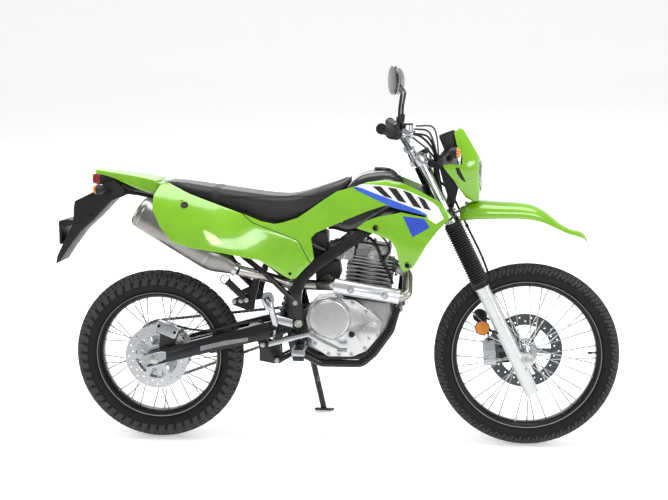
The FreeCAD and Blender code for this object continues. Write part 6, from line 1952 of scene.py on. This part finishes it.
    def fork_details(self, shop: Repeater) -> None:
        """Clamp bolts, fork caps, bar clamp bolts, axle pinch bolts and mask screws."""
        places = []
        for side in (-1, 1):
            for s in (816, 830):
                places.append((fork(LEG_OFFSET - 26, side * 88, s), -AXIS_FWD))
            for s in (594, 616):
                places.append((fork(LEG_OFFSET + 27, side * 90, s), AXIS_FWD))
            for y in (-10, 10):
                places.append((fork(-11, side * 46 + y, 899.5), AXIS_UP))
            places.append((Vector((1158, side * 96, 1000)), Vector((0.3, side, 0))))
            places.append((fork(30, side * 113, -24), (0, side, 0)))
        shop.scatter("fork_bolts", socket_bolt(9.5, 6), places, ZINC_BOLT)
        caps = bmesh.new()
        for side in (-1, 1):
            lathe(caps, [(0, -2), (17.5, -2), (17.5, 5), (14, 8), (11, 8), (10, 5.5), (0, 5.5)],
                  fork(LEG_OFFSET, side * LEG_Y, 840), AXIS_UP, 30)
        shop.add("fork_caps", caps, BLACK_BOLT, slot="fork_silver")
        lid = bmesh.new()
        at = self.bar_point(-1, 214) + (self.bar_point(-1, 300) - self.bar_point(-1, 214)).normalized() * 12
        at += Vector((34, 0, 2))
        lathe(lid, [(0, -1), (22, -1), (22, 3), (20, 5), (0, 5)], at + Vector((0, 0, 29)), UP, 36)
        shop.add("reservoir_lid", lid, BLACK_ALLOY, slot="black_plastic")

    def hoses(self, shop: Shop) -> None:
        """Front brake hose with its unions and clips, and the control cables behind the mask."""
        bm, unions = bmesh.new(), bmesh.new()
        route = [fork(*p) for p in HOSE_LINE]
        line = smooth_line(route, 6)
        sweep(bm, line, 4.5, 12)
        shop.add("brake_hose", bm, SOFT_RUBBER, ("front_hose",))
        for at, way in ((route[0], AXIS_FWD), (route[-1], AXIS_UP)):
            lathe(unions, [(0, -7), (7.4, -7), (7.4, 7), (0, 7)], at, way, 14)
        for p in (HOSE_LINE[6], HOSE_LINE[8]):
            lathe(unions, [(0, -6), (6.6, -6), (6.6, 6), (0, 6)], fork(*p), AXIS_UP, 14)
        shop.add("hose_unions", unions, BLACK_BOLT)
        cables = bmesh.new()
        for start, bulge, end, r in (
                ((958, -236, 1166), (1010, -160, 1150), (1040, -52, 1080), 4.0),
                ((958, -228, 1150), (1004, -130, 1108), (1034, -44, 1066), 3.4),
                ((958, 236, 1166), (1012, 150, 1156), (1040, 52, 1080), 4.0),
                ((962, 226, 1178), (1030, 120, 1172), (1048, 40, 1074), 3.4)):
            end_up = Vector(end) - Vector((0, 0, 34))
            sweep(cables, smooth_line([start, bulge, end, end_up], 8), r, 10)
        for points, r in (
                ([(1040, -40, 1044), (1050, -52, 990), (1056, -56, 930), (1066, -50, 880),
                (1082, -40, 850)], 7.0), ([(1034, 10, 1050), (1046, -6, 970), (1058, -12, 900),
                (1074, -8, 850)], 9.0), ([(1040, 40, 1044), (1052, 50, 980), (1060, 54, 920),
                (1078, 46, 856)], 7.0)):
            sweep(cables, smooth_line(points, 8), r, 12)
        shop.add("control_cables", cables, SOFT_RUBBER)


def bar_reach(y: float) -> float:
    """X of the handlebar at a distance from the middle."""
    return fork(-11, 0, 880).x - 27 - 58 * max(y - 186, 0) / 214


@dataclass
class Studio:
    """Pale floor, soft lights and the photograph's camera.

    Attributes:
        eye: Camera point in the upright frame, in mm.
        yaw_deg: Turn of the view to the right of square.
        pitch_deg: How far the view looks down.
        lens_mm: Focal length on a 36 mm sensor.
    """

    eye: tuple[float, float, float] = (1024.3, -4419.5, 1317.7)
    yaw_deg: float = 4.67
    pitch_deg: float = 7.63
    lens_mm: float = 64.7

    def build(self) -> None:
        """Makes floor, lights, world and camera."""
        bpy.context.scene.view_settings.view_transform = "Standard"
        self.floor()
        self.lights()
        self.camera()

    def floor(self) -> None:
        """Plain pale floor that curves up behind."""
        bm = bmesh.new()
        line = [(-4.0, 0.0), (6.0, 0.0)] + [(6.0 + 2.0 * math.sin(a), 2.0 - 2.0 * math.cos(a))
                                             for a in (0.3, 0.6, 0.9, 1.2, 1.57)] + [(8.0, 6.0)]
        rows = [[bm.verts.new((x, y, z)) for y, z in line] for x in (-8.0, 8.0)]
        for i in range(len(line) - 1):
            bm.faces.new((rows[0][i], rows[1][i], rows[1][i + 1], rows[0][i + 1]))
        mesh = bpy.data.meshes.new("studio_floor")
        bmesh.ops.translate(bm, vec=(0, 0, -0.0005), verts=bm.verts)
        bmesh.ops.scale(bm, vec=(1.5, 1.5, 1.0), verts=bm.verts)
        bmesh.ops.recalc_face_normals(bm, faces=bm.faces)
        bm.to_mesh(mesh)
        bm.free()
        floor = linked("studio_floor", mesh)
        mesh.materials.append(FLOOR_PAINT.material())
        mesh.shade_smooth()

    def lights(self) -> None:
        """Soft overhead panel, two side panels and a white room."""
        world = bpy.data.worlds.new("room")
        world.use_nodes = True
        sky = world.node_tree.nodes["Background"]
        sky.inputs[0].default_value = (1, 1, 1, 1)
        sky.inputs[1].default_value = 0.5
        bpy.context.scene.world = world
        for name, place, aim, size, power in (
                ("overhead", (0.0, 0.4, 4.2), (0, 0, 0.5), (5.0, 2.4), 165),
                ("right_side", (1.9, -4.4, 3.2), (0.1, 0, 0.6), (2.6, 1.6), 88),
                ("left_side", (-1.5, 4.4, 2.6), (0, 0, 0.6), (3.2, 2.2), 80),
                ("front", (4.6, -1.0, 1.8), (0, 0, 0.7), (1.6, 2.4), 42),
                ("behind", (-4.6, -0.8, 1.9), (0, 0, 0.7), (1.6, 2.4), 42)):
            lamp = bpy.data.lights.new(name, "AREA")
            lamp.shape = "RECTANGLE"
            lamp.size, lamp.size_y = size
            lamp.energy = power
            holder = bpy.data.objects.new(name, lamp)
            holder.location = place
            holder.rotation_euler = (Vector(aim) - Vector(place)).to_track_quat("-Z", "Y").to_euler()
            bpy.context.scene.collection.objects.link(holder)

    def camera(self) -> None:
        """Camera at the photograph's place, laid over with the machine."""
        camera = bpy.data.cameras.new("camera")
        camera.sensor_width = 36.0
        camera.lens = self.lens_mm
        camera.clip_end = 60.0
        holder = bpy.data.objects.new("camera", camera)
        yaw, pitch = math.radians(self.yaw_deg), math.radians(self.pitch_deg)
        look = Vector((-math.sin(yaw) * math.cos(pitch), math.cos(yaw) * math.cos(pitch), -math.sin(pitch)))
        turn = look.to_track_quat("-Z", "Y").to_matrix().to_4x4()
        holder.matrix_world = ROW @ Matrix.Translation(Vector(self.eye) * MM) @ turn
        bpy.context.scene.collection.objects.link(holder)
        bpy.context.scene.camera = holder


FRONT_BLOCKS = [(-8.5, 8.5, 0.04, 0.50, 0.24), (-8.5, 8.5, 0.56, 0.96, -0.24),
                (10.5, 21.0, 0.10, 0.80, 0.22), (-21.0, -10.5, 0.10, 0.80, -0.22),
                (22.8, 32.5, 0.02, 0.44, 0.12), (22.8, 32.5, 0.54, 0.94, -0.12),
                (-32.5, -22.8, 0.02, 0.44, -0.12), (-32.5, -22.8, 0.54, 0.94, 0.12)]
REAR_BLOCKS = [(-12.0, 12.0, 0.05, 0.47, 0.20), (-12.0, 12.0, 0.55, 0.95, -0.20),
               (14.5, 29.0, 0.08, 0.84, 0.20), (-29.0, -14.5, 0.08, 0.84, -0.20),
               (31.5, 46.0, 0.03, 0.52, 0.14), (31.5, 46.0, 0.62, 0.95, 0.14),
               (-46.0, -31.5, 0.03, 0.52, -0.14), (-46.0, -31.5, 0.62, 0.95, -0.14)]


def wheels() -> list[Wheel]:
    """Both wheels."""
    return [
        Wheel(end="front", body=Body.FRONT_WHEEL, axle=FRONT_AXLE, outer_r=341.5, half_w=38.0, rim_r=256.0,
              rim_half_w=27.0, flange_h=9.0, hub_r=34.0, flange_y=27.0, depth=6.0, pitches=64,
              blocks=FRONT_BLOCKS, lugs=[(0.03, 0.42, 0.86), (0.53, 0.9, 0.72)], disc_finish=DARK_DISC),
        Wheel(end="rear", body=Body.REAR_WHEEL, axle=REAR_AXLE, outer_r=320.5, half_w=54.0, rim_r=218.0,
              rim_half_w=34.0, flange_h=10.0, hub_r=52.0, flange_y=28.0, depth=8.0, pitches=52,
              blocks=REAR_BLOCKS, lugs=[(0.04, 0.74, 0.92)]),
    ]


def main() -> None:
    """Builds the machine's sub-assemblies in order and reports them."""
    logging.basicConfig(level=logging.INFO, format="%(message)s")
    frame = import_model()
    shop = Repeater(frame)
    jobs = [(wheel.body, wheel) for wheel in wheels()]
    jobs += [(Body.CHASSIS, part) for part in (Drive(), Chassis(), Engine(), Exhaust(), Bodywork())]
    jobs.append((Body.STEERING, Steering()))
    for body, part in jobs:
        shop.body = body
        part.build(shop)
        LOG.info("%s built, %d pieces so far", type(part).__name__, len(shop.made))
    Studio().build()


if __name__ == "__main__":
    main()
